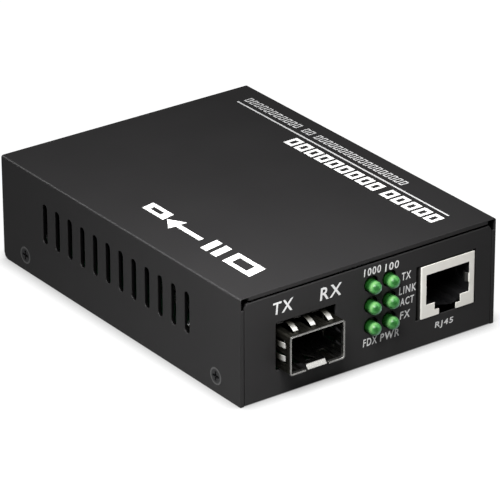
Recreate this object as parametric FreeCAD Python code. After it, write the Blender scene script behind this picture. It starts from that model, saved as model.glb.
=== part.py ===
import FreeCAD, Part
import os
from math import asin, cos, hypot, pi, sin
from FreeCAD import Vector

# Fibre media converter: a black folded steel case with one pluggable fibre port, one copper
# network jack, six indicator lamps and a low voltage inlet, all carried by one circuit board.
# Millimetres. The origin is in the middle of the underside: +X is right seen from the front,
# the front panel faces -Y, and +Z is up.

# Case: a base folded up at front and rear, and a cover folded down at both sides
CASE_WIDTH = 70.0
CASE_DEPTH = 94.0
CASE_HEIGHT = 26.0
SHEET = 1.0
FOLD_RADIUS = 0.6
FRONT = -CASE_DEPTH / 2
REAR = CASE_DEPTH / 2
PANEL_SIDE_PLAY = 0.15
PANEL_TOP_PLAY = 0.6
PANEL_WIDTH = CASE_WIDTH - 2 * (SHEET + PANEL_SIDE_PLAY)
PANEL_TOP = CASE_HEIGHT - SHEET - PANEL_TOP_PLAY
PANEL_CLIP_WIDTH = 0.7
PANEL_CLIP_HEIGHT = 1.1
COVER_FOOT_CLIP = 1.5
POCKET_SKIN = 0.3
POCKET_DEPTH = 2.0
POCKET_WIDTH = 2.0
POCKET_HEIGHT = 2.7

# Cooling slots in both sides of the cover
SLOT_COUNT = 12
SLOT_PITCH = 5.11
SLOT_WIDTH = 2.0
SLOT_LENGTH = 10.0
SLOT_END_FLATS = 5
SLOT_MIDDLE_Y = 1.0
SLOT_MIDDLE_Z = 15.05

# Countersunk cover screws and the tapped tabs of the base that take them
SCREW_Y = 37.8
SCREW_Z = 4.0
SCREW_RADIUS = 1.25
SCREW_HEAD_RADIUS = 2.1
SCREW_LENGTH = 3.8
SCREW_PLAY = 0.01
SCREW_HOLE_PLAY = 0.1
SCREW_TIP_CHAMFER = 0.3
TAB_WIDTH = 9.0
TAB_HEIGHT = 7.0
TAB_ROOT = 4.0
TAB_RELIEF = 0.8
TAPPED_COLLAR_RADIUS = 2.0
TAPPED_COLLAR_LENGTH = 0.8

# Circuit board on four hexagonal standoffs pressed into the floor
BOARD_THICKNESS = 1.6
BOARD_TOP = 6.3
BOARD_BOTTOM = BOARD_TOP - BOARD_THICKNESS
BOARD_HALF_WIDTH = 30.6
BOARD_FRONT = -45.0
BOARD_REAR = 44.4
BOARD_CORNER = 1.5
BOARD_HOLE_X = 27.6
BOARD_HOLE_Y = (-20.5, 40.6)
STANDOFF_ACROSS_FLATS = 5.0
BOARD_SCREW_RADIUS = 1.5
BOARD_SCREW_HEAD_RADIUS = 2.6
BOARD_SCREW_HEAD_HEIGHT = 1.9
BOARD_SCREW_TIP = 1.6
BOARD_SCREW_CROWN_HEIGHT = 0.7
BOARD_SCREW_CROWN_INSET = 0.8
PIN_BELOW_BOARD = 0.9

# Pluggable fibre port: a folded cage with a grounding collar round its mouth
CAGE_X = -17.5
CAGE_WIDTH = 14.45
CAGE_HEIGHT = 9.05
CAGE_BOTTOM = BOARD_TOP + 0.2
CAGE_FRONT = FRONT - 4.25
CAGE_LENGTH = 48.8
CAGE_REAR = CAGE_FRONT + CAGE_LENGTH
CAGE_SHEET = 0.25
CAGE_CORNER = 0.5
CAGE_PIN_Y = (-40.0, -30.0, -20.0, -10.0)
CAGE_PIN_WIDTH = 0.6
CAGE_SHOULDER_WIDTH = 1.4
CAGE_VENT = 1.6
PIN_HOLE_PLAY = 0.1
COLLAR_SHEET = 0.2
COLLAR_REAR = -43.2
COLLAR_BAND = 1.2
CAGE_OPENING_SIDE = 0.875
CAGE_OPENING_TOP = 17.6
CAGE_OPENING_BOTTOM = 6.1
CAGE_OPENING_CORNER = 0.4

# Spring fingers of the collar, which press against the panel round the cage
FINGER_WIDTH = 1.25
FINGER_GAP = 0.45
FINGER_CREST_Y = -46.4
FINGER_TIP_Y = -43.9
FINGER_BENDS = 4
FINGER_END_PLAY = 0.2
FINGER_ROOT = 0.2
FINGER_TIP_LIFT = 0.1
TOP_FINGER_PITCH = 4.67
TOP_FINGER_RISE = 1.35
SIDE_FINGER_Z = (9.9, 13.05)
SIDE_FINGER_RISE = 0.45
BOTTOM_FINGER_OFFSET = 5.1

# Latch tongue in the floor of the cage
TONGUE_WIDTH = 5.1
TONGUE_SLOT_WIDTH = 6.2
TONGUE_REAR = -38.0
TONGUE_LIFT = 0.8
LIP_LENGTH = 0.75
LIP_SETBACK = 0.1
LIP_DROP = 0.25
LATCH_HOLE_WIDTH = 3.0
LATCH_HOLE_LENGTH = 3.6
LATCH_HOLE_FRONT = CAGE_FRONT + 2.3

# Board connector inside the cage
HOST_WIDTH = 12.4
HOST_FRONT = -14.6
HOST_REAR = -6.0
HOST_HEIGHT = 5.3
HOST_SLOT_WIDTH = 10.6
HOST_SLOT_DEPTH = 4.4
HOST_SLOT_Z = (2.3, 3.7)
HOST_PLAY = 0.4
HOST_LEAD_IN = 0.6
HOST_STEP_LENGTH = 2.4
HOST_STEP_HEIGHT = 1.6
HOST_CONTACT_COUNT = 10
HOST_CONTACT_PITCH = 0.8
HOST_CONTACT_START = 0.7
HOST_CONTACT_WIDTH = 0.35
HOST_CONTACT_SHEET = 0.15

# Network jack: stamped shield, insulator and eight wires; the catch of the plug faces down
JACK_X = 21.5
JACK_WIDTH = 15.6
JACK_BOTTOM = BOARD_TOP + 0.6
JACK_TOP = 19.7
JACK_FRONT = FRONT - 0.15
JACK_REAR = JACK_FRONT + 21.2
JACK_SHEET = 0.3
JACK_CORNER = 0.6
JACK_OPENING_LEFT = 1.0
JACK_OPENING_RIGHT = 0.2
JACK_OPENING_TOP = 0.3
JACK_OPENING_BOTTOM = 0.1
PLUG_HALF_WIDTH = 6.05
PLUG_TOP = 17.4
PLUG_BOTTOM = 10.1
CATCH_HALF_WIDTH = 3.6
CATCH_BOTTOM = 8.3
KEY_HALF_WIDTH = 2.35
INSULATOR_TOP = 18.7
INSULATOR_REAR = -30.0
PLUG_STOP = -33.5
CAVITY_PLAY = 0.15
WIRE_COUNT = 8
WIRE_PITCH = 1.02
WIRE_WIDTH = 0.45
WIRE_SHEET = 0.25
WIRE_PIN_Y = (-29.4, -27.2)
WIRE_FRONT_Y = -45.3
WIRE_BENT_LENGTH = 7.7
WIRE_BENT_DROP = 2.3
COMB_FRONT = WIRE_FRONT_Y - 0.6
COMB_REAR = WIRE_FRONT_Y + 1.7
SHIELD_TAB_Y = -38.0
SHIELD_TAB_WIDTH = 1.6
SPRING_SHEET = 0.2
SPRING_WIDTH = 2.2
SPRING_REACH = 0.45
SPRING_CREST = 0.5
SPRING_DEPTH = 1.9
SPRING_POCKET_DEPTH = 5.0
SPRING_Z = 13.5
PEG_WIDTH = 1.5
PEG_Y = -41.0
PEG_SPACING = 11.4

# Indicator lamps: two columns of three
LAMP_RADIUS = 1.5
LAMP_FLANGE_RADIUS = 1.9
LAMP_FLANGE = 0.9
LAMP_DOME_STEPS = 4
LAMP_BACK = BOARD_FRONT
LAMP_TIP = FRONT - 2.9
LAMP_HOLE_RADIUS = 2.0
LAMP_SAG = 0.35
LAMP_X = {"left": 0.25, "right": 5.25}
LAMP_Z = {"lower": 9.25, "middle": 14.25, "upper": 19.25}
LAMP_LEAD = 0.5
LAMP_LEAD_SPACING = 2.54
LAMP_LEAD_Y = {"lower": -40.6, "middle": -38.4, "upper": -36.2}
HOLDER_WIDTH = 4.7
HOLDER_REAR = -41.9
HOLDER_TOP = 21.4
HOLDER_CORNER = 0.6
LAMP_LEAD_PLAY = 0.1

# Low voltage inlet at the rear
INLET_X = 20.0
INLET_WIDTH = 9.0
INLET_LENGTH = 14.0
INLET_BACK = REAR - INLET_LENGTH
INLET_HEIGHT = 11.0
INLET_AXIS_Z = BOARD_TOP + 6.5
INLET_BORE_RADIUS = 3.15
INLET_BORE_DEPTH = 9.5
INLET_PIN_RADIUS = 1.0
INLET_PIN_TIP = REAR - 1.0
INLET_PLAY = 0.2
INLET_COLLAR = 3.4
INLET_STEP = 1.4
INLET_NECK = 0.5
INLET_TAB_WIDTH = 1.0
INLET_TAB_SHEET = 0.4
INLET_LEAF_Y = REAR - 8.2
INLET_LEAF_SHEET = 0.3
INLET_LEAF_WIDTH = 2.0
INLET_LEAF_BEND = (REAR - 5.2, 0.9)
INLET_LEAF_TIP = REAR - 3.8
INLET_LEAF_RISE = 2.2

# Parts on the circuit board: size as (length, width, height), place of the middle, and leads as
# (count on a side, pitch, width, reach)
LEAD_SHEET = 0.2
PACKAGE_LIFT = 0.1
CONVERTER_CHIP = (7.0, 7.0, 1.5)
CONVERTER_PLACE = (2.0, -8.0)
CONVERTER_LEADS = (8, 0.8, 0.37, 1.0)
MEMORY_CHIP = (4.9, 3.9, 1.6)
MEMORY_PLACE = (-4.0, 5.0)
MEMORY_LEADS = (4, 1.27, 0.42, 1.0)
TRANSFORMER = (12.7, 7.1, 5.7)
TRANSFORMER_PLACE = (20.5, -10.5)
TRANSFORMER_LEADS = (8, 1.27, 0.5, 1.3)
REGULATOR = (6.5, 3.5, 1.7)
REGULATOR_PLACE = (1.0, 27.0)
REGULATOR_LEADS = (3, 2.3, 0.7, 1.6)
REGULATOR_TAB_WIDTH = 3.0
CRYSTAL = (11.4, 4.6, 3.4)
CRYSTAL_PLACE = (4.0, 8.0)
CRYSTAL_RIM = 0.45
CRYSTAL_BASE_HEIGHT = 0.6
INDUCTOR_WIDTH = 7.3
INDUCTOR_HEIGHT = 3.6
INDUCTOR_CORNER = 1.4
INDUCTOR_CORE_RADIUS = 2.6
INDUCTOR_PLACE = (9.5, 18.5)
CAPACITOR_BASE_HEIGHT = 0.9
CAPACITOR_EDGE = 0.3
GROOVE_BOTTOM = 1.6
GROOVE_HEIGHT = 0.8
INPUT_CAPACITOR = (4.0, 9.5)
INPUT_CAPACITOR_PLACE = (21.0, 25.5)
OUTPUT_CAPACITOR = (3.15, 5.8)
OUTPUT_CAPACITOR_PLACE = (-8.0, 20.0)

# Flats round a small turned form
SIDES = 16

AXES = {"X": Vector(1, 0, 0), "Y": Vector(0, 1, 0), "Z": Vector(0, 0, 1)}


def on_plane(plane, u, v, offset):
    """Point (u, v) of a sketch plane such as "XZ", moved along the plane's normal axis."""
    normal = next(axis for axis in "XYZ" if axis not in plane)
    return AXES[plane[0]] * u + AXES[plane[1]] * v + AXES[normal] * offset


def block(x_limits, y_limits, z_limits):
    """Rectangular block between three pairs of limits."""
    low = Vector(x_limits[0], y_limits[0], z_limits[0])
    return Part.makeBox(x_limits[1] - low.x, y_limits[1] - low.y, z_limits[1] - low.z, low)


def rod(radius, start, axis, length):
    """Round bar from a point along the row axis named by axis."""
    return Part.makeCylinder(radius, length, Vector(*start), AXES[axis])


def rectangle(u_limits, v_limits):
    """Corners of a rectangle, anticlockwise."""
    (u0, u1), (v0, v1) = u_limits, v_limits
    return [(u0, v0), (u1, v0), (u1, v1), (u0, v1)]


def around(middle, width):
    """Limits of a width centred on the middle."""
    return (middle - width / 2, middle + width / 2)


def evenly(count, pitch):
    """Places of a centred row."""
    return [(i - (count - 1) / 2) * pitch for i in range(count)]


def round_corner(before, corner, after, radius):
    """Start, middle and end of the arc that rounds a corner of an outline."""
    into = Vector(before[0] - corner[0], before[1] - corner[1], 0).normalize()
    out = Vector(after[0] - corner[0], after[1] - corner[1], 0).normalize()
    bisector = (into + out).normalize()
    cosine = bisector.dot(into)
    sine = (1 - cosine * cosine) ** 0.5
    point = Vector(corner[0], corner[1], 0)
    middle = point + bisector * (radius / sine - radius)
    return point + into * (radius * cosine / sine), middle, point + out * (radius * cosine / sine)


def outline_face(plane, points, radii, offset):
    """Flat face inside a closed outline whose corners are rounded by their own radii."""
    count = len(points)
    corners = []
    for i, (point, radius) in enumerate(zip(points, radii)):
        if radius:
            corners.append(round_corner(points[i - 1], point, points[(i + 1) % count], radius))
        else:
            corners.append((Vector(point[0], point[1], 0),))
    edges = []
    for i, corner in enumerate(corners):
        here = [on_plane(plane, p.x, p.y, offset) for p in corner]
        following = corners[(i + 1) % count][0]
        start = on_plane(plane, following.x, following.y, offset)
        if len(here) == 3:
            edges.append(Part.Arc(*here).toShape())
        if here[-1].distanceToPoint(start) > 1e-6:
            edges.append(Part.LineSegment(here[-1], start).toShape())
    return Part.Face(Part.Wire(edges))


def prism(plane, points, limits, radius=0.0):
    """Outline pushed along its plane's normal axis between two limits."""
    radii = radius if isinstance(radius, list) else [radius] * len(points)
    normal = next(axis for axis in "XYZ" if axis not in plane)
    face = outline_face(plane, points, radii, limits[0])
    return face.extrude(AXES[normal] * (limits[1] - limits[0]))


def beside(path, distance):
    """Path moved to its left by a distance, mitred at its corners."""
    moved = []
    for i, (u, v) in enumerate(path):
        legs = [(path[j], path[j + 1]) for j in (i - 1, i) if 0 <= j < len(path) - 1]
        normals = []
        for (u0, v0), (u1, v1) in legs:
            length = hypot(u1 - u0, v1 - v0)
            normals.append(Vector(-(v1 - v0) / length, (u1 - u0) / length, 0))
        mitre = sum(normals[1:], normals[0]).normalize()
        reach = distance / mitre.dot(normals[0])
        moved.append((u + mitre.x * reach, v + mitre.y * reach))
    return moved


def folded_strip(plane, path, thickness, limits, fold=0.0):
    """Sheet folded along a path, its thickness on the left, with the outer radius of its folds."""
    near, far = [0.0], [0.0]
    for before, corner, after in zip(path, path[1:], path[2:]):
        turn = ((corner[0] - before[0]) * (after[1] - corner[1])
                - (corner[1] - before[1]) * (after[0] - corner[0]))
        near.append(fold if turn > 0 else 0.0)
        far.append(0.0 if turn > 0 else fold)
    outline = path + beside(path, thickness)[::-1]
    return prism(plane, outline, limits, near + [0.0] + (far + [0.0])[::-1])


def faceted(profile, start, axis, sides=SIDES):
    """Turned form with flat sides: the profile holds (distance along the axis, radius) pairs."""
    u, v = (AXES[name] for name in "XYZ" if name != axis)
    rings = []
    for along, radius in profile:
        middle = Vector(*start) + AXES[axis] * along
        turns = [2 * pi * (i + 0.5) / sides for i in range(sides)]
        rings.append([middle + u * radius * cos(turn) + v * radius * sin(turn) for turn in turns])
    loops = [rings[0], rings[-1]]
    for low, high in zip(rings, rings[1:]):
        loops += [[low[i - 1], low[i], high[i], high[i - 1]] for i in range(sides)]
    shell = Part.makeShell([Part.Face(Part.makePolygon(loop + loop[:1])) for loop in loops])
    shell.sewShape()
    solid = Part.makeSolid(shell)
    return solid if solid.Volume > 0 else solid.reversed()


def stadium(middle, width, length, flats):
    """Outline of a slot along the plane's second axis, each round end cut into flats."""
    u, v = middle
    radius = width / 2
    points = []
    for end, first in ((1, 0.0), (-1, pi)):
        for i in range(flats + 1):
            turn = first + pi * i / flats
            points.append((u + radius * cos(turn), v + end * (length / 2 - radius) + radius * sin(turn)))
    return points


def mirrored(shape, x=0.0):
    """Copy of a shape on the other side of the plane at x."""
    return shape.mirror(Vector(x, 0, 0), AXES["X"])


def join(shapes):
    """One solid from pieces that overlap or meet."""
    return shapes[0].multiFuse(shapes[1:]).removeSplitter()


# ---------------------------------------------------------------- case

def screw_tab():
    """Upturned tab of the base with the tapped collar of one cover screw, on the right side."""
    outer = CASE_WIDTH / 2 - SHEET
    path = [(outer - TAB_ROOT, 0.0), (outer, 0.0), (outer, TAB_HEIGHT)]
    tab = folded_strip("XZ", path, SHEET, around(0.0, TAB_WIDTH), FOLD_RADIUS)
    collar_start = outer - SHEET - TAPPED_COLLAR_LENGTH
    start = (collar_start, 0, SCREW_Z)
    collar = faceted([(0, TAPPED_COLLAR_RADIUS), (TAPPED_COLLAR_LENGTH, TAPPED_COLLAR_RADIUS)], start, "X")
    hole = faceted([(-1, SCREW_RADIUS + SCREW_PLAY), (4, SCREW_RADIUS + SCREW_PLAY)], start, "X")
    return tab.fuse(collar).cut(hole)


def jack_outline(growth=0.0, bottom=JACK_BOTTOM):
    """Stepped mouth of the network jack, seen from the front, grown on all sides."""
    plug, catch, key = (half + growth for half in (PLUG_HALF_WIDTH, CATCH_HALF_WIDTH, KEY_HALF_WIDTH))
    right = [(key, bottom), (key, CATCH_BOTTOM - growth), (catch, CATCH_BOTTOM - growth),
             (catch, PLUG_BOTTOM - growth), (plug, PLUG_BOTTOM - growth), (plug, PLUG_TOP + growth)]
    return [(JACK_X + x, z) for x, z in right] + [(JACK_X - x, z) for x, z in right[::-1]]


def panel_openings():
    """Cutters for every opening of the front and rear panels."""
    depth = (FRONT - 1, FRONT + 2)
    cage = rectangle(around(CAGE_X, CAGE_WIDTH + 2 * CAGE_OPENING_SIDE),
                     (CAGE_OPENING_BOTTOM, CAGE_OPENING_TOP))
    left, right = around(JACK_X, JACK_WIDTH)
    jack = rectangle((left - JACK_OPENING_LEFT, right + JACK_OPENING_RIGHT),
                     (JACK_BOTTOM - JACK_OPENING_BOTTOM, JACK_TOP + JACK_OPENING_TOP))
    inlet = rectangle(around(INLET_X, INLET_WIDTH + 2 * INLET_PLAY),
                      (BOARD_TOP - INLET_PLAY, BOARD_TOP + INLET_HEIGHT + INLET_PLAY))
    cutters = [prism("XZ", cage, depth, CAGE_OPENING_CORNER), prism("XZ", jack, depth),
               prism("XZ", inlet, (REAR - 2, REAR + 1))]
    for x in LAMP_X.values():
        for z in LAMP_Z.values():
            start = (x, depth[0], z + LAMP_SAG)
            cutters.append(faceted([(0, LAMP_HOLE_RADIUS), (3, LAMP_HOLE_RADIUS)], start, "Y"))
    return cutters


def base_chassis():
    """Floor, front panel and rear panel folded from one sheet, with a tab for each cover screw."""
    path = [(FRONT, PANEL_TOP), (FRONT, 0.0), (REAR, 0.0), (REAR, PANEL_TOP)]
    base = folded_strip("YZ", path, SHEET, around(0.0, PANEL_WIDTH), FOLD_RADIUS)
    tab_edge = CASE_WIDTH / 2 - 2 * SHEET - TAB_RELIEF
    clear = block((tab_edge, CASE_WIDTH), around(0.0, TAB_WIDTH + 2 * TAB_RELIEF), (-1.0, 2.0))
    tab = screw_tab()
    for y in (-SCREW_Y, SCREW_Y):
        for copy in (lambda shape: shape, mirrored):
            base = base.cut(copy(clear.translated(Vector(0, y, 0))))
            base = base.fuse(copy(tab.translated(Vector(0, y, 0))))
    edge = PANEL_WIDTH / 2
    corner = [(edge, PANEL_TOP - PANEL_CLIP_HEIGHT), (edge + 1, PANEL_TOP - PANEL_CLIP_HEIGHT),
              (edge + 1, PANEL_TOP + 1), (edge - PANEL_CLIP_WIDTH, PANEL_TOP + 1),
              (edge - PANEL_CLIP_WIDTH, PANEL_TOP)]
    corner_cut = prism("XZ", corner, (FRONT - 1, REAR + 1))
    feet = [hexagon_post(x, y, (-1.0, 2.0)) for x, y in board_hole_places()]
    base = base.cut(panel_openings() + feet + [corner_cut, mirrored(corner_cut)])
    return base.removeSplitter()


def cover_screw_seat(side):
    """Countersunk hole of the cover on one side, -1 for left and 1 for right."""
    depth = SCREW_HEAD_RADIUS - SCREW_RADIUS
    surface = CASE_WIDTH / 2
    hole = SCREW_RADIUS + SCREW_HOLE_PLAY
    profile = [(-1.0, hole), (SHEET - depth + SCREW_HOLE_PLAY, hole), (SHEET, SCREW_HEAD_RADIUS),
               (SHEET + 1.0, SCREW_HEAD_RADIUS + 1.0)]
    seat = faceted(profile, (surface - SHEET, 0, SCREW_Z), "X")
    return seat if side > 0 else mirrored(seat)


def corner_pocket(end):
    """Hollow behind the outer skin of the right fold, at the front (-1) or rear (1) edge of the cover."""
    right, top = CASE_WIDTH / 2 - POCKET_SKIN, CASE_HEIGHT - POCKET_SKIN
    edges = (end * (REAR + 1), end * (REAR - POCKET_DEPTH))
    return block((right - POCKET_WIDTH, right), (min(edges), max(edges)), (top - POCKET_HEIGHT, top))


def cover_foot():
    """Cutter that takes the rear lower corners off both sides of the cover, in two flats."""
    middle = COVER_FOOT_CLIP * (1 - sin(pi / 4))
    outline = [(REAR - COVER_FOOT_CLIP, -1.0), (REAR + 1, -1.0), (REAR + 1, COVER_FOOT_CLIP),
               (REAR, COVER_FOOT_CLIP), (REAR - middle, middle), (REAR - COVER_FOOT_CLIP, 0.0)]
    return prism("YZ", outline, (-CASE_WIDTH, CASE_WIDTH))


def top_cover():
    """Top and both sides folded from one sheet, with the cooling slots and the screw seats."""
    half = CASE_WIDTH / 2
    path = [(half, 0.0), (half, CASE_HEIGHT), (-half, CASE_HEIGHT), (-half, 0.0)]
    cover = folded_strip("XZ", path, SHEET, (FRONT, REAR), FOLD_RADIUS)
    across = (-half - 1, half + 1)
    cutters = [cover_foot()]
    for place in evenly(SLOT_COUNT, SLOT_PITCH):
        slot = stadium((SLOT_MIDDLE_Y + place, SLOT_MIDDLE_Z), SLOT_WIDTH, SLOT_LENGTH, SLOT_END_FLATS)
        cutters.append(prism("YZ", slot, across))
    for y in (-SCREW_Y, SCREW_Y):
        cutters += [cover_screw_seat(side).translated(Vector(0, y, 0)) for side in (-1, 1)]
    for end in (-1, 1):
        pocket = corner_pocket(end)
        cutters += [pocket, mirrored(pocket)]
    return cover.cut(cutters)


def cover_screws():
    """Four countersunk screws that hold the cover to the tabs of the base."""
    depth = SCREW_HEAD_RADIUS - SCREW_RADIUS
    profile = [(0.0, SCREW_RADIUS - SCREW_TIP_CHAMFER), (SCREW_TIP_CHAMFER, SCREW_RADIUS),
               (SCREW_LENGTH - depth, SCREW_RADIUS), (SCREW_LENGTH, SCREW_HEAD_RADIUS)]
    screw = faceted(profile, (CASE_WIDTH / 2 - SCREW_LENGTH, 0, SCREW_Z), "X")
    pair = [screw, mirrored(screw)]
    return [one.translated(Vector(0, y, 0)) for y in (-SCREW_Y, SCREW_Y) for one in pair]


# ---------------------------------------------------------------- circuit board and its fixings

def board_hole_places():
    """Centres of the four fixing holes of the circuit board."""
    return [(x, y) for x in (-BOARD_HOLE_X, BOARD_HOLE_X) for y in BOARD_HOLE_Y]


def hexagon_post(x, y, z_limits):
    """Upright hexagonal bar of the standoffs' size."""
    corner = STANDOFF_ACROSS_FLATS / 2 / cos(pi / 6)
    height = z_limits[1] - z_limits[0]
    return faceted([(0, corner), (height, corner)], (x, y, z_limits[0]), "Z", 6)


def board_standoffs():
    """Four threaded standoffs, pressed flush into the floor and carrying the board."""
    standoffs = []
    for x, y in board_hole_places():
        bore = faceted([(-1, BOARD_SCREW_RADIUS), (BOARD_BOTTOM + 1, BOARD_SCREW_RADIUS)], (x, y, 0), "Z")
        standoffs.append(hexagon_post(x, y, (0.0, BOARD_BOTTOM)).cut(bore))
    return standoffs


def board_screws():
    """Four pan-head screws through the board into the standoffs."""
    shank = BOARD_SCREW_RADIUS - SCREW_PLAY
    top = BOARD_TOP + BOARD_SCREW_HEAD_HEIGHT
    profile = [(BOARD_SCREW_TIP, shank - SCREW_TIP_CHAMFER), (BOARD_SCREW_TIP + SCREW_TIP_CHAMFER, shank),
               (BOARD_TOP, shank), (BOARD_TOP, BOARD_SCREW_HEAD_RADIUS),
               (top - BOARD_SCREW_CROWN_HEIGHT, BOARD_SCREW_HEAD_RADIUS),
               (top, BOARD_SCREW_HEAD_RADIUS - BOARD_SCREW_CROWN_INSET)]
    return [faceted(profile, (x, y, 0), "Z") for x, y in board_hole_places()]


def circuit_board():
    """Circuit board with its fixing holes and a hole for every pin that passes through it."""
    outline = rectangle((-BOARD_HALF_WIDTH, BOARD_HALF_WIDTH), (BOARD_FRONT, BOARD_REAR))
    board = prism("XY", outline, (BOARD_BOTTOM, BOARD_TOP), BOARD_CORNER)
    hole = BOARD_SCREW_RADIUS + SCREW_HOLE_PLAY
    through = [(-1, hole), (BOARD_THICKNESS + 1, hole)]
    cutters = [faceted(through, (x, y, BOARD_BOTTOM), "Z") for x, y in board_hole_places()]
    pins = [(x, y, CAGE_SHEET, CAGE_PIN_WIDTH) for x, y in cage_pin_places()]
    pins += [(x, y, LAMP_LEAD, LAMP_LEAD) for x, y, _ in lamp_lead_places()]
    pins += [(x, y - WIRE_SHEET / 2, WIRE_WIDTH, WIRE_SHEET) for x, y in wire_places()]
    pins += [(x, PEG_Y, PEG_WIDTH, PEG_WIDTH) for x in around(JACK_X, PEG_SPACING)]
    for x in around(JACK_X, JACK_WIDTH - JACK_SHEET):
        pins.append((x, SHIELD_TAB_Y, JACK_SHEET, SHIELD_TAB_WIDTH))
    pins.append((INLET_X, INLET_BACK - INLET_TAB_SHEET / 2, INLET_TAB_WIDTH, INLET_TAB_SHEET))
    pins.append((INLET_X, INLET_LEAF_Y - INLET_LEAF_SHEET / 2, INLET_TAB_WIDTH, INLET_LEAF_SHEET))
    for x, y, width, depth in pins:
        cutters.append(block(around(x, width + 2 * PIN_HOLE_PLAY), around(y, depth + 2 * PIN_HOLE_PLAY),
                             (BOARD_BOTTOM - 1, BOARD_TOP + 1)))
    return board.cut(cutters)


# ---------------------------------------------------------------- pluggable fibre port

def cage_section(growth, y_limits):
    """Bar with the section of the cage, grown or shrunk all round."""
    section = rectangle(around(CAGE_X, CAGE_WIDTH + 2 * growth),
                        (CAGE_BOTTOM - growth, CAGE_BOTTOM + CAGE_HEIGHT + growth))
    return prism("XZ", section, y_limits, CAGE_CORNER + growth)


def top_finger_places():
    """Middles of the spring fingers above the cage."""
    return [CAGE_X + place for place in evenly(3, TOP_FINGER_PITCH)]


def finger_windows():
    """Cutters for the slits round every spring finger, through cage and collar alike."""
    width = FINGER_WIDTH + 2 * FINGER_GAP
    length = (CAGE_FRONT + COLLAR_BAND, FINGER_TIP_Y + FINGER_END_PLAY)
    top = CAGE_BOTTOM + CAGE_HEIGHT
    windows = [block(around(x, width), length, (top - 1, top + 1)) for x in top_finger_places()]
    across = around(CAGE_X, CAGE_WIDTH + 2)
    windows += [block(across, length, around(z, width)) for z in SIDE_FINGER_Z]
    for x in around(CAGE_X, 2 * BOTTOM_FINGER_OFFSET):
        windows.append(block(around(x, width), (length[0], BOARD_FRONT - FINGER_END_PLAY),
                             (CAGE_BOTTOM - 1, CAGE_BOTTOM + 0.4)))
    return windows


def latch_tongue():
    """Tongue of the cage floor: it rises to the front and ends in a ramp that leads a module in."""
    floor = CAGE_BOTTOM + CAGE_SHEET
    path = [(TONGUE_REAR + 0.6, floor), (TONGUE_REAR - 0.4, floor),
            (CAGE_FRONT + LIP_SETBACK + LIP_LENGTH, floor + TONGUE_LIFT),
            (CAGE_FRONT + LIP_SETBACK, floor - LIP_DROP)]
    tongue = folded_strip("YZ", path, CAGE_SHEET, around(CAGE_X, TONGUE_WIDTH))
    left, right = around(CAGE_X, LATCH_HOLE_WIDTH)
    hole = [(left, LATCH_HOLE_FRONT), (right, LATCH_HOLE_FRONT),
            (CAGE_X, LATCH_HOLE_FRONT + LATCH_HOLE_LENGTH)]
    return tongue.cut(prism("XY", hole, (CAGE_BOTTOM - 1, CAGE_BOTTOM + 3)))


def cage_pin_places():
    """Centres of the board pins under both side walls of the cage."""
    half = (CAGE_WIDTH - CAGE_SHEET) / 2
    return [(CAGE_X + side * half, y) for side in (-1, 1) for y in CAGE_PIN_Y]


def cage_pins():
    """Shouldered pins that seat the cage on the board."""
    pins = []
    for x, y in cage_pin_places():
        thick = around(x, CAGE_SHEET)
        pins.append(block(thick, around(y, CAGE_SHOULDER_WIDTH), (BOARD_TOP, CAGE_BOTTOM + 1)))
        pins.append(block(thick, around(y, CAGE_PIN_WIDTH), (BOARD_BOTTOM - PIN_BELOW_BOARD, BOARD_TOP)))
    return pins


def sfp_cage():
    """Folded cage: tube closed at the rear, with latch tongue, vents, finger windows and pins."""
    tube = cage_section(0.0, (CAGE_FRONT, CAGE_REAR))
    hollow = cage_section(-CAGE_SHEET, (CAGE_FRONT - 1, CAGE_REAR - CAGE_SHEET))
    floor = (CAGE_BOTTOM - 1, CAGE_BOTTOM + CAGE_SHEET + 0.1)
    cutters = [hollow] + finger_windows()
    cutters.append(block(around(CAGE_X, TONGUE_SLOT_WIDTH), (CAGE_FRONT - 1, TONGUE_REAR), floor))
    cutters.append(block(around(CAGE_X, HOST_WIDTH + 2 * HOST_PLAY),
                         (HOST_FRONT - HOST_PLAY, CAGE_REAR - 0.6), floor))
    roof = (CAGE_BOTTOM + CAGE_HEIGHT - 1, CAGE_BOTTOM + CAGE_HEIGHT + 1)
    for y in CAGE_PIN_Y[1:]:
        for x in around(CAGE_X, CAGE_WIDTH / 2):
            cutters.append(block(around(x, CAGE_VENT), around(y, CAGE_VENT), roof))
    return join([tube.cut(cutters), latch_tongue()] + cage_pins())


def raised_finger(surface, rise):
    """Path of a spring finger: leaves the band, arches up to its crest and comes back to the wall."""
    root = CAGE_FRONT + COLLAR_BAND + FINGER_ROOT
    run = FINGER_CREST_Y - root
    radius = (run * run + rise * rise) / (2 * rise)
    steepest = asin(run / radius)
    arch = []
    for i in range(FINGER_BENDS + 1):
        turn = steepest * (1 - i / FINGER_BENDS)
        arch.append((FINGER_CREST_Y - radius * sin(turn), surface + rise - radius * (1 - cos(turn))))
    back = FINGER_TIP_Y - FINGER_CREST_Y
    return [(root - 0.5, surface)] + arch + [(FINGER_CREST_Y + 0.25 * back, surface + 0.85 * rise),
                                             (FINGER_TIP_Y, surface + FINGER_TIP_LIFT)]


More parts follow.
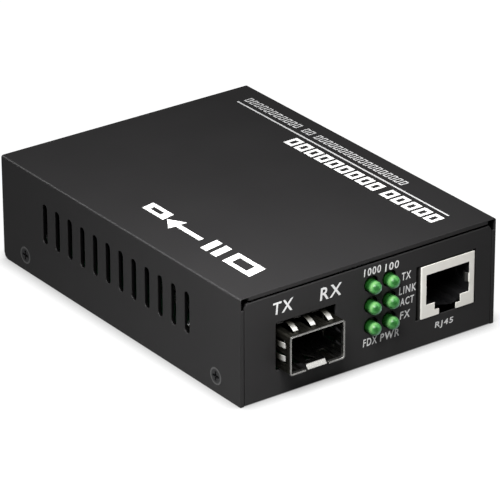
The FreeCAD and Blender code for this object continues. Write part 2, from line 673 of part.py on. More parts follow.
def sfp_emi_collar():
    """Grounding collar round the cage's mouth, with a row of spring fingers on each face."""
    ring = cage_section(COLLAR_SHEET, (CAGE_FRONT, COLLAR_REAR))
    cutters = [cage_section(0.0, (CAGE_FRONT - 1, COLLAR_REAR + 1))] + finger_windows()
    cutters.append(block(around(CAGE_X, TONGUE_SLOT_WIDTH), (CAGE_FRONT - 1, COLLAR_REAR + 1),
                         (CAGE_BOTTOM - 1, CAGE_BOTTOM + 0.4)))
    pieces = [ring.cut(cutters)]
    top = CAGE_BOTTOM + CAGE_HEIGHT
    for x in top_finger_places():
        pieces.append(folded_strip("YZ", raised_finger(top, TOP_FINGER_RISE), COLLAR_SHEET,
                                   around(x, FINGER_WIDTH)))
    side = -(CAGE_X + CAGE_WIDTH / 2 + COLLAR_SHEET)
    path = [(-x, y) for y, x in raised_finger(side, -SIDE_FINGER_RISE)]
    for z in SIDE_FINGER_Z:
        finger = folded_strip("XY", path, COLLAR_SHEET, around(z, FINGER_WIDTH))
        pieces += [finger, mirrored(finger, CAGE_X)]
    for x in around(CAGE_X, 2 * BOTTOM_FINGER_OFFSET):
        pieces.append(block(around(x, FINGER_WIDTH), (CAGE_FRONT + COLLAR_BAND - 0.3, BOARD_FRONT - 0.7),
                            (CAGE_BOTTOM - COLLAR_SHEET, CAGE_BOTTOM)))
    return join(pieces)


def sfp_host_connector():
    """Board connector at the far end of the cage, with a slot for a module's edge card."""
    body = block(around(CAGE_X, HOST_WIDTH), (HOST_FRONT, HOST_REAR), (BOARD_TOP, BOARD_TOP + HOST_HEIGHT))
    low, high = (BOARD_TOP + z for z in HOST_SLOT_Z)
    stop = HOST_FRONT + HOST_SLOT_DEPTH
    outer, inner = HOST_FRONT - 0.1, HOST_FRONT - 0.1 + HOST_LEAD_IN
    mouth = [(outer, low - HOST_LEAD_IN), (inner, low), (stop, low), (stop, high), (inner, high),
             (outer, high + HOST_LEAD_IN)]
    slot = prism("YZ", mouth, around(CAGE_X, HOST_SLOT_WIDTH))
    top = BOARD_TOP + HOST_HEIGHT
    step = block(around(CAGE_X, HOST_WIDTH + 2), (HOST_REAR - HOST_STEP_LENGTH, HOST_REAR + 1),
                 (top - HOST_STEP_HEIGHT, top + 1))
    return body.cut([slot, step])


def sfp_host_contacts():
    """Two rows of contact blades lying on the floor and the roof of the edge card slot."""
    low, high = (BOARD_TOP + z for z in HOST_SLOT_Z)
    length = (HOST_FRONT + HOST_CONTACT_START, HOST_FRONT + HOST_SLOT_DEPTH)
    blades = []
    for place in evenly(HOST_CONTACT_COUNT, HOST_CONTACT_PITCH):
        x = around(CAGE_X + place, HOST_CONTACT_WIDTH)
        blades.append(block(x, length, (low, low + HOST_CONTACT_SHEET)))
        blades.append(block(x, length, (high - HOST_CONTACT_SHEET, high)))
    return blades


# ---------------------------------------------------------------- network jack

def grounding_spring():
    """Leaf folded into the jack's mouth from the right edge of the shield's front face."""
    edge = JACK_X + PLUG_HALF_WIDTH
    back = JACK_FRONT + JACK_SHEET
    path = [(edge + 0.4, back), (edge - 0.05, back), (edge - SPRING_REACH, back + SPRING_CREST),
            (edge + 0.3, back + SPRING_DEPTH)]
    return folded_strip("XY", path, SPRING_SHEET, around(SPRING_Z, SPRING_WIDTH))


def rj45_shield():
    """Stamped shield: front face with the stepped mouth, sides, top and rear, open below."""
    outer = block(around(JACK_X, JACK_WIDTH), (JACK_FRONT, JACK_REAR), (JACK_BOTTOM, JACK_TOP))
    corners = [edge for edge in outer.Edges if is_shield_corner(edge)]
    shell = outer.makeFillet(JACK_CORNER, corners)
    inner = block(around(JACK_X, JACK_WIDTH - 2 * JACK_SHEET),
                  (JACK_FRONT + JACK_SHEET, JACK_REAR - JACK_SHEET),
                  (JACK_BOTTOM - 1, JACK_TOP - JACK_SHEET))
    mouth = prism("XZ", jack_outline(bottom=JACK_BOTTOM - 1), (JACK_FRONT - 1, JACK_FRONT + JACK_SHEET))
    spring = grounding_spring()
    pieces = [shell.cut([inner, mouth]), spring, mirrored(spring, JACK_X)]
    for x in around(JACK_X, JACK_WIDTH - JACK_SHEET):
        pieces.append(block(around(x, JACK_SHEET), around(SHIELD_TAB_Y, SHIELD_TAB_WIDTH),
                            (BOARD_BOTTOM - PIN_BELOW_BOARD, JACK_BOTTOM + 1)))
    return join(pieces)


def is_shield_corner(edge):
    """Whether an edge of the shield's block is an upright or a top edge along its length."""
    box = edge.BoundBox
    upright = box.ZLength > 1.0
    along_top = box.YLength > 1.0 and box.ZMin > JACK_TOP - 0.1
    return upright or along_top


def rj45_insulator():
    """Moulded body inside the shield, with the plug's cavity and the comb for its wires."""
    front = JACK_FRONT + JACK_SHEET
    body = block(around(JACK_X, JACK_WIDTH - 2 * JACK_SHEET), (front, INSULATOR_REAR),
                 (BOARD_TOP, INSULATOR_TOP))
    lip = block(around(JACK_X, JACK_WIDTH), (front - 1, FRONT + SHEET + CAVITY_PLAY),
                (BOARD_TOP - 1, JACK_BOTTOM))
    cavity = prism("XZ", jack_outline(CAVITY_PLAY, JACK_BOTTOM + 0.1), (JACK_FRONT, PLUG_STOP))
    comb = block(around(JACK_X, WIRE_COUNT * WIRE_PITCH + 2 * CAVITY_PLAY), (COMB_FRONT, COMB_REAR),
                 (PLUG_TOP, INSULATOR_TOP + 1))
    edge = JACK_X + PLUG_HALF_WIDTH
    pocket = block((edge - 1, edge + SPRING_REACH), (JACK_FRONT, JACK_FRONT + SPRING_POCKET_DEPTH),
                   around(SPRING_Z, SPRING_WIDTH + 0.4))
    pegs = [block(around(x, PEG_WIDTH), around(PEG_Y, PEG_WIDTH), (BOARD_BOTTOM - 0.3, BOARD_TOP + 1))
            for x in around(JACK_X, PEG_SPACING)]
    return join([body.cut([lip, cavity, comb, pocket, mirrored(pocket, JACK_X)])] + pegs)


def wire_places():
    """Place across and pin line of each wire, in two staggered rows."""
    return [(JACK_X + place, WIRE_PIN_Y[i % 2]) for i, place in enumerate(evenly(WIRE_COUNT, WIRE_PITCH))]


def rj45_contacts():
    """Eight wires: up behind the insulator, over its top and back down into the plug's cavity."""
    top = INSULATOR_TOP + WIRE_SHEET
    wires = []
    for x, pin_y in wire_places():
        path = [(pin_y, BOARD_BOTTOM - PIN_BELOW_BOARD), (pin_y, top), (WIRE_FRONT_Y, top),
                (WIRE_FRONT_Y, PLUG_TOP - 0.2),
                (WIRE_FRONT_Y + WIRE_BENT_LENGTH, PLUG_TOP - 0.2 - WIRE_BENT_DROP)]
        wires.append(folded_strip("YZ", path, WIRE_SHEET, around(x, WIRE_WIDTH)))
    return wires


# ---------------------------------------------------------------- indicator lamps

def lamp(x, z):
    """Moulded lamp: domed tip, round body and flange, pointing forwards."""
    dome = [(LAMP_RADIUS * (1 - cos(turn)), LAMP_RADIUS * sin(turn)) for turn in
            (pi * step / 2 / LAMP_DOME_STEPS for step in range(1, LAMP_DOME_STEPS + 1))]
    length = LAMP_BACK - LAMP_TIP
    flange = [(length - LAMP_FLANGE, LAMP_RADIUS), (length - LAMP_FLANGE, LAMP_FLANGE_RADIUS),
              (length, LAMP_FLANGE_RADIUS)]
    return faceted(dome + flange, (x, LAMP_TIP, z), "Y")


def lamp_lead_places():
    """Place across, pin line and height of each lamp lead."""
    places = []
    for x in LAMP_X.values():
        for row, z in LAMP_Z.items():
            places += [(lead_x, LAMP_LEAD_Y[row], z) for lead_x in around(x, LAMP_LEAD_SPACING)]
    return places


def lamp_leads():
    """Twelve leads, each straight back through its holder and then down through the board."""
    leads = []
    half = LAMP_LEAD / 2
    for x, y, z in lamp_lead_places():
        path = [(LAMP_BACK, z - half), (y - half, z - half), (y - half, BOARD_BOTTOM - PIN_BELOW_BOARD)]
        leads.append(folded_strip("YZ", path, LAMP_LEAD, around(x, LAMP_LEAD)))
    return leads


def lamp_holder(x):
    """Stacking holder that stands on the board behind three lamps."""
    body = prism("XZ", rectangle(around(x, HOLDER_WIDTH), (BOARD_TOP, HOLDER_TOP)),
                 (LAMP_BACK, HOLDER_REAR), [0.0, 0.0, HOLDER_CORNER, HOLDER_CORNER])
    cutters = []
    for z in LAMP_Z.values():
        for lead_x in around(x, LAMP_LEAD_SPACING):
            cutters.append(block(around(lead_x, LAMP_LEAD + LAMP_LEAD_PLAY),
                                 (LAMP_BACK - 1, HOLDER_REAR + 1), around(z, LAMP_LEAD + LAMP_LEAD_PLAY)))
    return body.cut(cutters)


# ---------------------------------------------------------------- low voltage inlet

def dc_jack_housing():
    """Moulded inlet body: tall front collar with the bore, lower and narrower behind it."""
    low, top = BOARD_TOP, BOARD_TOP + INLET_HEIGHT
    front = REAR - INLET_COLLAR
    side = [(INLET_BACK, low), (REAR, low), (REAR, top), (front, top), (front, top - INLET_STEP),
            (INLET_BACK, top - INLET_STEP)]
    body = prism("YZ", side, around(INLET_X, INLET_WIDTH), [0.0, 0.0, 0.4, 0.0, 0.0, 0.8])
    flank = block((INLET_X + INLET_WIDTH / 2 - INLET_NECK, INLET_X + INLET_WIDTH),
                  (INLET_BACK - 1, front), (low - 1, top + 1))
    bore_start = (INLET_X, REAR - INLET_BORE_DEPTH, INLET_AXIS_Z)
    bore = rod(INLET_BORE_RADIUS, bore_start, "Y", INLET_BORE_DEPTH + 1)
    pin_hole = faceted([(0, INLET_PIN_RADIUS), (8, INLET_PIN_RADIUS)],
                       (INLET_X, INLET_BACK - 1, INLET_AXIS_Z), "Y")
    leaf_pocket = block(around(INLET_X, INLET_LEAF_WIDTH + 0.4),
                        (INLET_LEAF_Y - INLET_LEAF_SHEET, REAR - 3.0),
                        (low - 1, INLET_AXIS_Z - INLET_BORE_RADIUS + 1))
    return body.cut([flank, mirrored(flank, INLET_X), bore, pin_hole, leaf_pocket])


def dc_jack_pin():
    """Centre pin with its rear tab, which runs down the back of the housing and into the board."""
    length = INLET_PIN_TIP - INLET_BACK
    radius = INLET_PIN_RADIUS
    profile = [(0.0, radius), (length - 0.5, radius), (length, radius - 0.5)]
    pin = faceted(profile, (INLET_X, INLET_BACK, INLET_AXIS_Z), "Y")
    sheet = (INLET_BACK - INLET_TAB_SHEET, INLET_BACK)
    tab = block(around(INLET_X, 2 * INLET_PIN_RADIUS + 0.4), sheet, (BOARD_TOP, INLET_AXIS_Z + 1.2))
    foot = block(around(INLET_X, INLET_TAB_WIDTH), sheet, (BOARD_BOTTOM - PIN_BELOW_BOARD, BOARD_TOP))
    return join([pin, tab, foot])


def dc_jack_leaf():
    """Spring leaf of the inlet: up through the housing's floor and forwards into the bore."""
    bore_floor = INLET_AXIS_Z - INLET_BORE_RADIUS
    bend_y, bend_rise = INLET_LEAF_BEND
    path = [(INLET_LEAF_Y, BOARD_TOP), (INLET_LEAF_Y, BOARD_TOP + INLET_LEAF_RISE),
            (bend_y, bore_floor + bend_rise), (INLET_LEAF_TIP, bore_floor)]
    leaf = folded_strip("YZ", path, INLET_LEAF_SHEET, around(INLET_X, INLET_LEAF_WIDTH))
    foot = block(around(INLET_X, INLET_TAB_WIDTH), (INLET_LEAF_Y - INLET_LEAF_SHEET, INLET_LEAF_Y),
                 (BOARD_BOTTOM - PIN_BELOW_BOARD, BOARD_TOP))
    return join([leaf, foot])


# ---------------------------------------------------------------- parts on the circuit board

def package(place, size, leads, sides):
    """Moulded package on bent leads; its sides with leads are given in quarter turns from +X."""
    length, width, height = size
    count, pitch, lead_width, reach = leads
    middle = BOARD_TOP + PACKAGE_LIFT + 0.4 * height
    pieces = [block(around(0, length), around(0, width), (BOARD_TOP + PACKAGE_LIFT, BOARD_TOP + height))]
    for turns in sides:
        half = (width if turns % 2 else length) / 2
        path = [(half - 0.2, middle), (half + 0.3 * reach, middle), (half + 0.5 * reach, BOARD_TOP),
                (half + reach, BOARD_TOP)]
        for along in evenly(count, pitch):
            lead = folded_strip("XZ", path, LEAD_SHEET, around(along, lead_width))
            pieces.append(lead.rotate(Vector(), AXES["Z"], 90 * turns))
    return join(pieces).translated(Vector(*place, 0))


def converter_chip():
    """Flat square package with eight leads on each side."""
    return package(CONVERTER_PLACE, CONVERTER_CHIP, CONVERTER_LEADS, (0, 1, 2, 3))


def network_transformer():
    """Tall package with the isolating transformers of the network jack."""
    return package(TRANSFORMER_PLACE, TRANSFORMER, TRANSFORMER_LEADS, (1, 3))


def memory_chip():
    """Small package with four leads on each long side."""
    return package(MEMORY_PLACE, MEMORY_CHIP, MEMORY_LEADS, (1, 3))


def voltage_regulator():
    """Power package with three leads and a wide cooling tab."""
    body = package(REGULATOR_PLACE, REGULATOR, REGULATOR_LEADS, (3,))
    x, y = REGULATOR_PLACE
    edge = y + REGULATOR[1] / 2
    tab = block(around(x, REGULATOR_TAB_WIDTH), (edge - 0.2, edge + REGULATOR_LEADS[-1]),
                (BOARD_TOP, BOARD_TOP + LEAD_SHEET + PACKAGE_LIFT))
    return join([body, tab])


def crystal_can():
    """Drawn metal can of the quartz crystal, lying flat."""
    length, width, height = CRYSTAL
    foot = stadium(CRYSTAL_PLACE, width, length, 6)
    cap = stadium(CRYSTAL_PLACE, width - 2 * CRYSTAL_RIM, length - 2 * CRYSTAL_RIM, 6)
    base = prism("YX", foot, (BOARD_TOP, BOARD_TOP + CRYSTAL_BASE_HEIGHT))
    can = prism("YX", cap, (BOARD_TOP, BOARD_TOP + height))
    return join([base, can])


def power_inductor():
    """Shielded inductor: square ferrite block with clipped corners and a round core on top."""
    half, corner = INDUCTOR_WIDTH / 2, INDUCTOR_CORNER
    right = [(half, corner - half), (half, half - corner), (half - corner, half), (corner - half, half)]
    outline = right + [(-x, -y) for x, y in right]
    block_part = prism("XY", outline, (BOARD_TOP, BOARD_TOP + INDUCTOR_HEIGHT - 0.4))
    profile = [(0, INDUCTOR_CORE_RADIUS), (INDUCTOR_HEIGHT, INDUCTOR_CORE_RADIUS)]
    core = faceted(profile, (0, 0, BOARD_TOP), "Z")
    return join([block_part, core]).translated(Vector(*INDUCTOR_PLACE, 0))


def capacitor(place, radius, height):
    """Electrolytic capacitor: can with a rolled groove on a square base with two clipped corners."""
    half, clip = radius + 0.15, 0.3 * radius
    outline = [(-half, -half), (half - clip, -half), (half, clip - half), (half, half - clip),
               (half - clip, half), (-half, half)]
    base = prism("XY", outline, (BOARD_TOP, BOARD_TOP + CAPACITOR_BASE_HEIGHT))
    profile = [(0.0, radius), (GROOVE_BOTTOM, radius),
               (GROOVE_BOTTOM + GROOVE_HEIGHT / 2, radius - CAPACITOR_EDGE),
               (GROOVE_BOTTOM + GROOVE_HEIGHT, radius), (height - CAPACITOR_EDGE, radius),
               (height, radius - CAPACITOR_EDGE)]
    return join([base, faceted(profile, (0, 0, BOARD_TOP), "Z")]).translated(Vector(*place, 0))


def make_parts():
    """Every node of the converter by name: a solid, or a list of separate solids."""
    parts = {
        "base_chassis": base_chassis(),
        "top_cover": top_cover(),
        "cover_screws": cover_screws(),
        "circuit_board": circuit_board(),
        "board_standoffs": board_standoffs(),
        "board_screws": board_screws(),
        "sfp_cage": sfp_cage(),
        "sfp_emi_collar": sfp_emi_collar(),
        "sfp_host_connector": sfp_host_connector(),
        "sfp_host_contacts": sfp_host_contacts(),
        "rj45_shield": rj45_shield(),
        "rj45_insulator": rj45_insulator(),
        "rj45_contacts": rj45_contacts(),
        "lamp_leads": lamp_leads(),
        "dc_jack_housing": dc_jack_housing(),
        "dc_jack_pin": dc_jack_pin(),
        "dc_jack_leaf": dc_jack_leaf(),
        "converter_chip": converter_chip(),
        "network_transformer": network_transformer(),
        "memory_chip": memory_chip(),
        "voltage_regulator": voltage_regulator(),
        "crystal_can": crystal_can(),
        "power_inductor": power_inductor(),
        "input_capacitor": capacitor(INPUT_CAPACITOR_PLACE, *INPUT_CAPACITOR),
        "output_capacitor": capacitor(OUTPUT_CAPACITOR_PLACE, *OUTPUT_CAPACITOR),
    }
    for column, x in LAMP_X.items():
        parts[f"lamp_holder_{column}"] = lamp_holder(x)
        for row, z in LAMP_Z.items():
            parts[f"lamp_{row}_{column}"] = lamp(x, z)
    return parts


def main():
    """Write one STEP file for each node."""
    os.makedirs("parts", exist_ok=True)
    for name, shape in make_parts().items():
        solids = shape if isinstance(shape, list) else [shape]
        whole = Part.makeCompound(solids) if len(solids) > 1 else solids[0]
        whole.exportStep(f"parts/{name}.step")


main()
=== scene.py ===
"""Looks of the fibre media converter: finishes, softened sheet edges, lamps, screws and screen print.

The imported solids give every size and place. All lengths are in metres.
"""

import logging
import math
from dataclasses import asdict, dataclass
from enum import StrEnum
from typing import Any, Iterable, Sequence

import bmesh
import bpy
from mathutils import Matrix, Vector

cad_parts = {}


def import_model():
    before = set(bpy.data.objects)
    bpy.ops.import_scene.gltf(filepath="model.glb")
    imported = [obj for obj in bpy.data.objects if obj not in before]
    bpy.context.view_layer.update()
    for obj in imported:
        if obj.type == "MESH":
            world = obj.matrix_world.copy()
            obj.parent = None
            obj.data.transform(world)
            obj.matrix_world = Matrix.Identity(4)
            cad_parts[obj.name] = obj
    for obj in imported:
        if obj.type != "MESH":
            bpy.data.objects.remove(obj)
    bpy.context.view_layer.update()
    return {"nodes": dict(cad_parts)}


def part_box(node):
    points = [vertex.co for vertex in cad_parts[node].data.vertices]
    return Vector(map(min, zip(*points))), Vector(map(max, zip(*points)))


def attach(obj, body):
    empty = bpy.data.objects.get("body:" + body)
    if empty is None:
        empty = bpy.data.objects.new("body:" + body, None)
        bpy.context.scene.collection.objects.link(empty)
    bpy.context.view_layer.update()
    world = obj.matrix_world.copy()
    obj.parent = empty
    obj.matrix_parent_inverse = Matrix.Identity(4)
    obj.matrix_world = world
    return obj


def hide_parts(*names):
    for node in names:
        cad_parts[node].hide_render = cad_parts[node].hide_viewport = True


LOG = logging.getLogger("media_converter")
MM = 0.001
ROOT = "root"
CAD_SIDES = 16  # sides of the solids' round parts
FILM = 0.02 * MM  # thickness of the printed ink

Colour = tuple[float, float, float]
Point = tuple[float, float, float]
Span = tuple[float, float]
Loop = list[tuple[float, float]]


class Axis(StrEnum):
    """The row frame's axes: across the front, from front to rear, and up."""

    X = "X"
    Y = "Y"
    Z = "Z"


class Slot(StrEnum):
    """Slots that a later user of the part may give another material."""

    CASE_COAT = "case_coat"
    BLACK_SCREW = "black_screw"
    PLATED_STEEL = "plated_steel"
    CONTACT_METAL = "contact_metal"
    BLACK_MOULDING = "black_moulding"
    LAMP_RESIN = "lamp_resin"
    BOARD_LAMINATE = "board_laminate"
    CHIP_RESIN = "chip_resin"
    CAN_METAL = "can_metal"
    FERRITE = "ferrite"
    LEAD_METAL = "lead_metal"
    ZINC_STEEL = "zinc_steel"


# ---- shader graphs

def new_node(
        tree: bpy.types.NodeTree, kind: str, settings: dict[str, Any], links: dict[Any, Any]) -> bpy.types.Node:
    """Add a node to any tree.

    Args:
        tree: the tree.
        kind: the node's type.
        settings: its properties, set before its sockets.
        links: sockets to join or values, by name or number of its inputs.

    Returns:
        The node.
    """
    node = tree.nodes.new(kind)
    for name, value in settings.items():
        setattr(node, name, value)
    for key, value in links.items():
        if isinstance(value, bpy.types.NodeSocket):
            tree.links.new(value, node.inputs[key])
        else:
            node.inputs[key].default_value = value
    return node


class Wire:
    """An output socket of a shader graph that takes part in Python arithmetic."""

    def __init__(self, graph: "Graph", socket: bpy.types.NodeSocket) -> None:
        """Keep the socket with the graph that owns it."""
        self.graph = graph
        self.socket = socket

    def _math(self, operation: str, *values: Any) -> "Wire":
        """Result of a Math node on wires or numbers."""
        return self.graph.add("ShaderNodeMath", {"operation": operation}, dict(enumerate(values)))

    def __add__(self, other: Any) -> "Wire":
        """Sum."""
        return self._math("ADD", self, other)

    def __radd__(self, other: Any) -> "Wire":
        """Sum with the wire on the right."""
        return self._math("ADD", other, self)

    def __sub__(self, other: Any) -> "Wire":
        """Difference."""
        return self._math("SUBTRACT", self, other)

    def __rsub__(self, other: Any) -> "Wire":
        """Difference with the wire on the right."""
        return self._math("SUBTRACT", other, self)

    def __mul__(self, other: Any) -> "Wire":
        """Product."""
        return self._math("MULTIPLY", self, other)

    def __rmul__(self, other: Any) -> "Wire":
        """Product with the wire on the right."""
        return self._math("MULTIPLY", other, self)

    def __truediv__(self, other: Any) -> "Wire":
        """Quotient."""
        return self._math("DIVIDE", self, other)

    def __gt__(self, other: Any) -> "Wire":
        """1 where the wire is greater, else 0."""
        return self._math("GREATER_THAN", self, other)

    def magnitude(self) -> "Wire":
        """Absolute value."""
        return self._math("ABSOLUTE", self)

    def fraction(self) -> "Wire":
        """Part after the decimal point, never negative."""
        return self._math("FRACT", self)

    def root(self) -> "Wire":
        """Square root."""
        return self._math("SQRT", self)

    def ramp(self, low: float, high: float) -> "Wire":
        """Smooth step from 0 at low to 1 at high.

        Args:
            low: value that gives 0.
            high: value that gives 1.

        Returns:
            The stepped value.
        """
        settings = {"interpolation_type": "SMOOTHSTEP"}
        links = {"Value": self, "From Min": low, "From Max": high}
        return self.graph.add("ShaderNodeMapRange", settings, links)


class Graph:
    """Node graph of one material or of the world."""

    def __init__(self, tree: bpy.types.NodeTree) -> None:
        """Start with an empty tree."""
        self.tree = tree
        tree.nodes.clear()

    def add(self, kind: str, settings: dict[str, Any], links: dict[Any, Any], output: Any = 0) -> Wire:
        """Add any node.

        Args:
            kind: the node's type.
            settings: its properties, set before its sockets.
            links: wires or values of its input sockets, by name or number.
            output: name or number of the socket to return.

        Returns:
            One of the node's outputs.
        """
        inputs = {key: value.socket if isinstance(value, Wire) else value for key, value in links.items()}
        return Wire(self, new_node(self.tree, kind, settings, inputs).outputs[output])

    def place(self) -> Wire:
        """Object coordinates, which every CAD node and piece shares with the row frame."""
        return self.add("ShaderNodeTexCoord", {}, {}, "Object")

    def axis(self, axis: Axis) -> Wire:
        """One object coordinate, in metres."""
        return self.add("ShaderNodeSeparateXYZ", {}, {"Vector": self.place()}, axis)

    def noise(self, scale: float, detail: float = 2.0, stretch: Point = (1.0, 1.0, 1.0)) -> Wire:
        """Smooth noise on object coordinates.

        Args:
            scale: features for each metre.
            detail: octaves.
            stretch: factor on each coordinate.

        Returns:
            Noise from 0 to 1.
        """
        place = self.add("ShaderNodeMapping", {}, {"Vector": self.place(), "Scale": stretch})
        links = {"Vector": place, "Scale": scale, "Detail": detail, "Roughness": 0.55}
        return self.add("ShaderNodeTexNoise", {"noise_dimensions": "3D"}, links, "Fac")

    def mix(self, factor: Any, first: Any, second: Any) -> Wire:
        """Mix two colours.

        Args:
            factor: 0 gives the first, 1 the second.
            first: a colour or a wire.
            second: a colour or a wire.

        Returns:
            The mixed colour.
        """
        colours = [value if isinstance(value, Wire) else (*value, 1.0) for value in (first, second)]
        links = {0: factor, 6: colours[0], 7: colours[1]}
        return self.add("ShaderNodeMix", {"data_type": "RGBA"}, links, 2)

    def bump(self, height: Wire, depth: float) -> Wire:
        """Normal bumped by a height from 0 to 1, with the depth in metres."""
        links = {"Strength": 1.0, "Distance": depth, "Height": height}
        return self.add("ShaderNodeBump", {}, links)

    def surface(self, shader: Wire, kind: str = "ShaderNodeOutputMaterial") -> None:
        """Join a shader to a new output node of a kind."""
        new_node(self.tree, kind, {}, {"Surface": shader.socket})


class Finish:
    """Base of all finishes: gives one shared material for each set of values."""

    slot: Slot
    _made: dict[Any, bpy.types.Material] = {}

    def material(self) -> bpy.types.Material:
        """Material of this finish, made once."""
        if self not in Finish._made:
            material = bpy.data.materials.new(type(self).__name__)
            material.use_nodes = True
            graph = Graph(material.node_tree)
            graph.surface(self.shader(graph))
            Finish._made[self] = material
        return Finish._made[self]

    def shader(self, graph: Graph) -> Wire:
        """Build the surface shader."""
        raise NotImplementedError

    def principled(self, graph: Graph, **sockets: Any) -> Wire:
        """Principled shader with wires or values; an underscore in a name stands for a space."""
        links = {name.replace("_", " "): value for name, value in sockets.items()}
        return graph.add("ShaderNodeBsdfPrincipled", {}, links)


@dataclass(frozen=True)
class GrainedFinish(Finish):
    """Base of plain finishes: one noise mixes two tones and moves the roughness and the bump."""

    slot: Slot
    colour: Colour
    shade: Colour
    grain: float
    roughness: float
    depth: float
    octaves: float = 3.0
    spread: float = 0.2
    metallic: float = 0.0
    specular: float = 0.5
    stretch: Point = (1.0, 1.0, 1.0)

    def shader(self, graph: Graph) -> Wire:
        """Grained surface."""
        grain = graph.noise(self.grain, self.octaves, self.stretch)
        return self.principled(
            graph,
            Base_Color=graph.mix(grain, self.colour, self.shade),
            Metallic=self.metallic,
            Roughness=self.roughness + self.spread * grain,
            Specular_IOR_Level=self.specular,
            Normal=graph.bump(grain, self.depth),
        )


@dataclass(frozen=True)
class PowderCoat(Finish):
    """Fine satin powder coat on sheet steel, with painted shade: near-black matt on cut openings and the inside.
    """

    half_width: float
    half_length: float
    height: float
    slot: Slot = Slot.CASE_COAT
    dark: Colour = (0.0150, 0.0146, 0.0149)
    light: Colour = (0.0184, 0.0179, 0.0182)
    # painted shade colour for cut openings and the inside
    inside_shade: Colour = (0.002, 0.002, 0.002)
    grain: float = 2600.0
    clouds: float = 55.0
    depth: float = 0.006 * MM
    side_fade: Span = (-0.09 * MM, -0.35 * MM)
    end_fade: Span = (-0.4 * MM, -0.6 * MM)
    top_fade: Span = (-0.7 * MM, -1.0 * MM)
    foot_fade: Span = (0.3 * MM, 0.5 * MM)

    def shader(self, graph: Graph) -> Wire:
        """Near black with a fine orange peel and faint cloudiness, and painted shade on the inside."""
        peel = graph.noise(self.grain, 3.0)
        cloud = graph.noise(self.clouds, 2.0)
        coat = self.principled(
            graph,
            Base_Color=graph.mix(cloud, self.dark, self.light),
            Roughness=0.38 + 0.05 * cloud + 0.05 * peel,
            Specular_IOR_Level=0.15,
            Normal=graph.bump(peel, self.depth),
        )
        # painted shade: a near-black matt surface takes the coat's place on openings and the inside
        inside_shade = graph.add("ShaderNodeBsdfDiffuse", {}, {"Color": (*self.inside_shade, 1.0)})
        return graph.add("ShaderNodeMixShader", {}, {0: self.inside_shade_mask(graph), 1: coat, 2: inside_shade})

    def inside_shade_mask(self, graph: Graph) -> Wire:
        """Mask of the painted shade: 1 below the case's outer faces, 0 on them."""
        across, along, up = (graph.axis(axis) for axis in Axis)
        below_side = (across.magnitude() - self.half_width).ramp(*self.side_fade)
        below_end = (along.magnitude() - self.half_length).ramp(*self.end_fade)
        below_top = (up - self.height).ramp(*self.top_fade)
        return below_side * below_end * below_top * up.ramp(*self.foot_fade)


@dataclass(frozen=True)
class BlackOxide(Finish):
    """Black oxide on the cover screws, with a painted highlight as a lighter ring round the heads."""

    reach: float
    middle_z: float
    slot: Slot = Slot.BLACK_SCREW
    colour: Colour = (0.012, 0.012, 0.013)
    grey: Colour = (0.03, 0.03, 0.032)
    # colour of the painted highlight ring
    edge: Colour = (0.10, 0.10, 0.10)
    highlight_radius: Span = (1.5 * MM, 1.8 * MM)
    grain: float = 5200.0
    depth: float = 0.006 * MM

    def shader(self, graph: Graph) -> Wire:
        """Dark, a little metallic, with a fine grain."""
        grain = graph.noise(self.grain, 3.0)
        # painted highlight: a lighter ring near the rim of each head
        along = graph.axis(Axis.Y).magnitude() - self.reach
        up = graph.axis(Axis.Z) - self.middle_z
        highlight_and_streak = (along * along + up * up).root().ramp(*self.highlight_radius)
        return self.principled(
            graph,
            Base_Color=graph.mix(highlight_and_streak, graph.mix(grain, self.colour, self.grey), self.edge),
            Roughness=0.34 + 0.2 * grain,
            Metallic=0.55,
            Normal=graph.bump(grain, self.depth),
        )


@dataclass(frozen=True)
class PlatedSheet(Finish):
    """Plated spring sheet with a drawn grain, its full tone at its front and painted shade behind it."""

    # where the painted shade behind the front begins and where it is full
    fade: Span
    slot: Slot = Slot.PLATED_STEEL
    colour: Colour = (0.60, 0.585, 0.55)
    shade: Colour = (0.42, 0.41, 0.385)
    # part of the tone kept in the painted shade behind the front
    shade_behind: float = 1.0
    roughness: float = 0.2
    metallic: float = 1.0
    streaks: float = 3800.0
    stains: float = 420.0
    stretch: Point = (1.0, 0.08, 1.0)
    depth: float = 0.002 * MM

    def shader(self, graph: Graph) -> Wire:
        """Metal with streaks along the rolling direction and faint stains."""
        # the tone behind the front is painted shade
        streak = graph.noise(self.streaks, 3.0, self.stretch)
        stain = graph.noise(self.stains, 3.0)
        behind = graph.axis(Axis.Y).ramp(*self.fade)
        bright, shade_behind = (self.stained(graph, stain, part) for part in (1.0, self.shade_behind))
        return self.principled(
            graph,
            Base_Color=graph.mix(behind, bright, shade_behind),
            Metallic=self.metallic,
            Roughness=self.roughness + 0.16 * streak,
            Normal=graph.bump(streak, self.depth),
        )

    def stained(self, graph: Graph, stain: Wire, part: float) -> Wire:
        """Both tones, a part as bright, mixed by the stains."""
        return graph.mix(stain, *(tuple(part * value for value in tone) for tone in (self.shade, self.colour)))


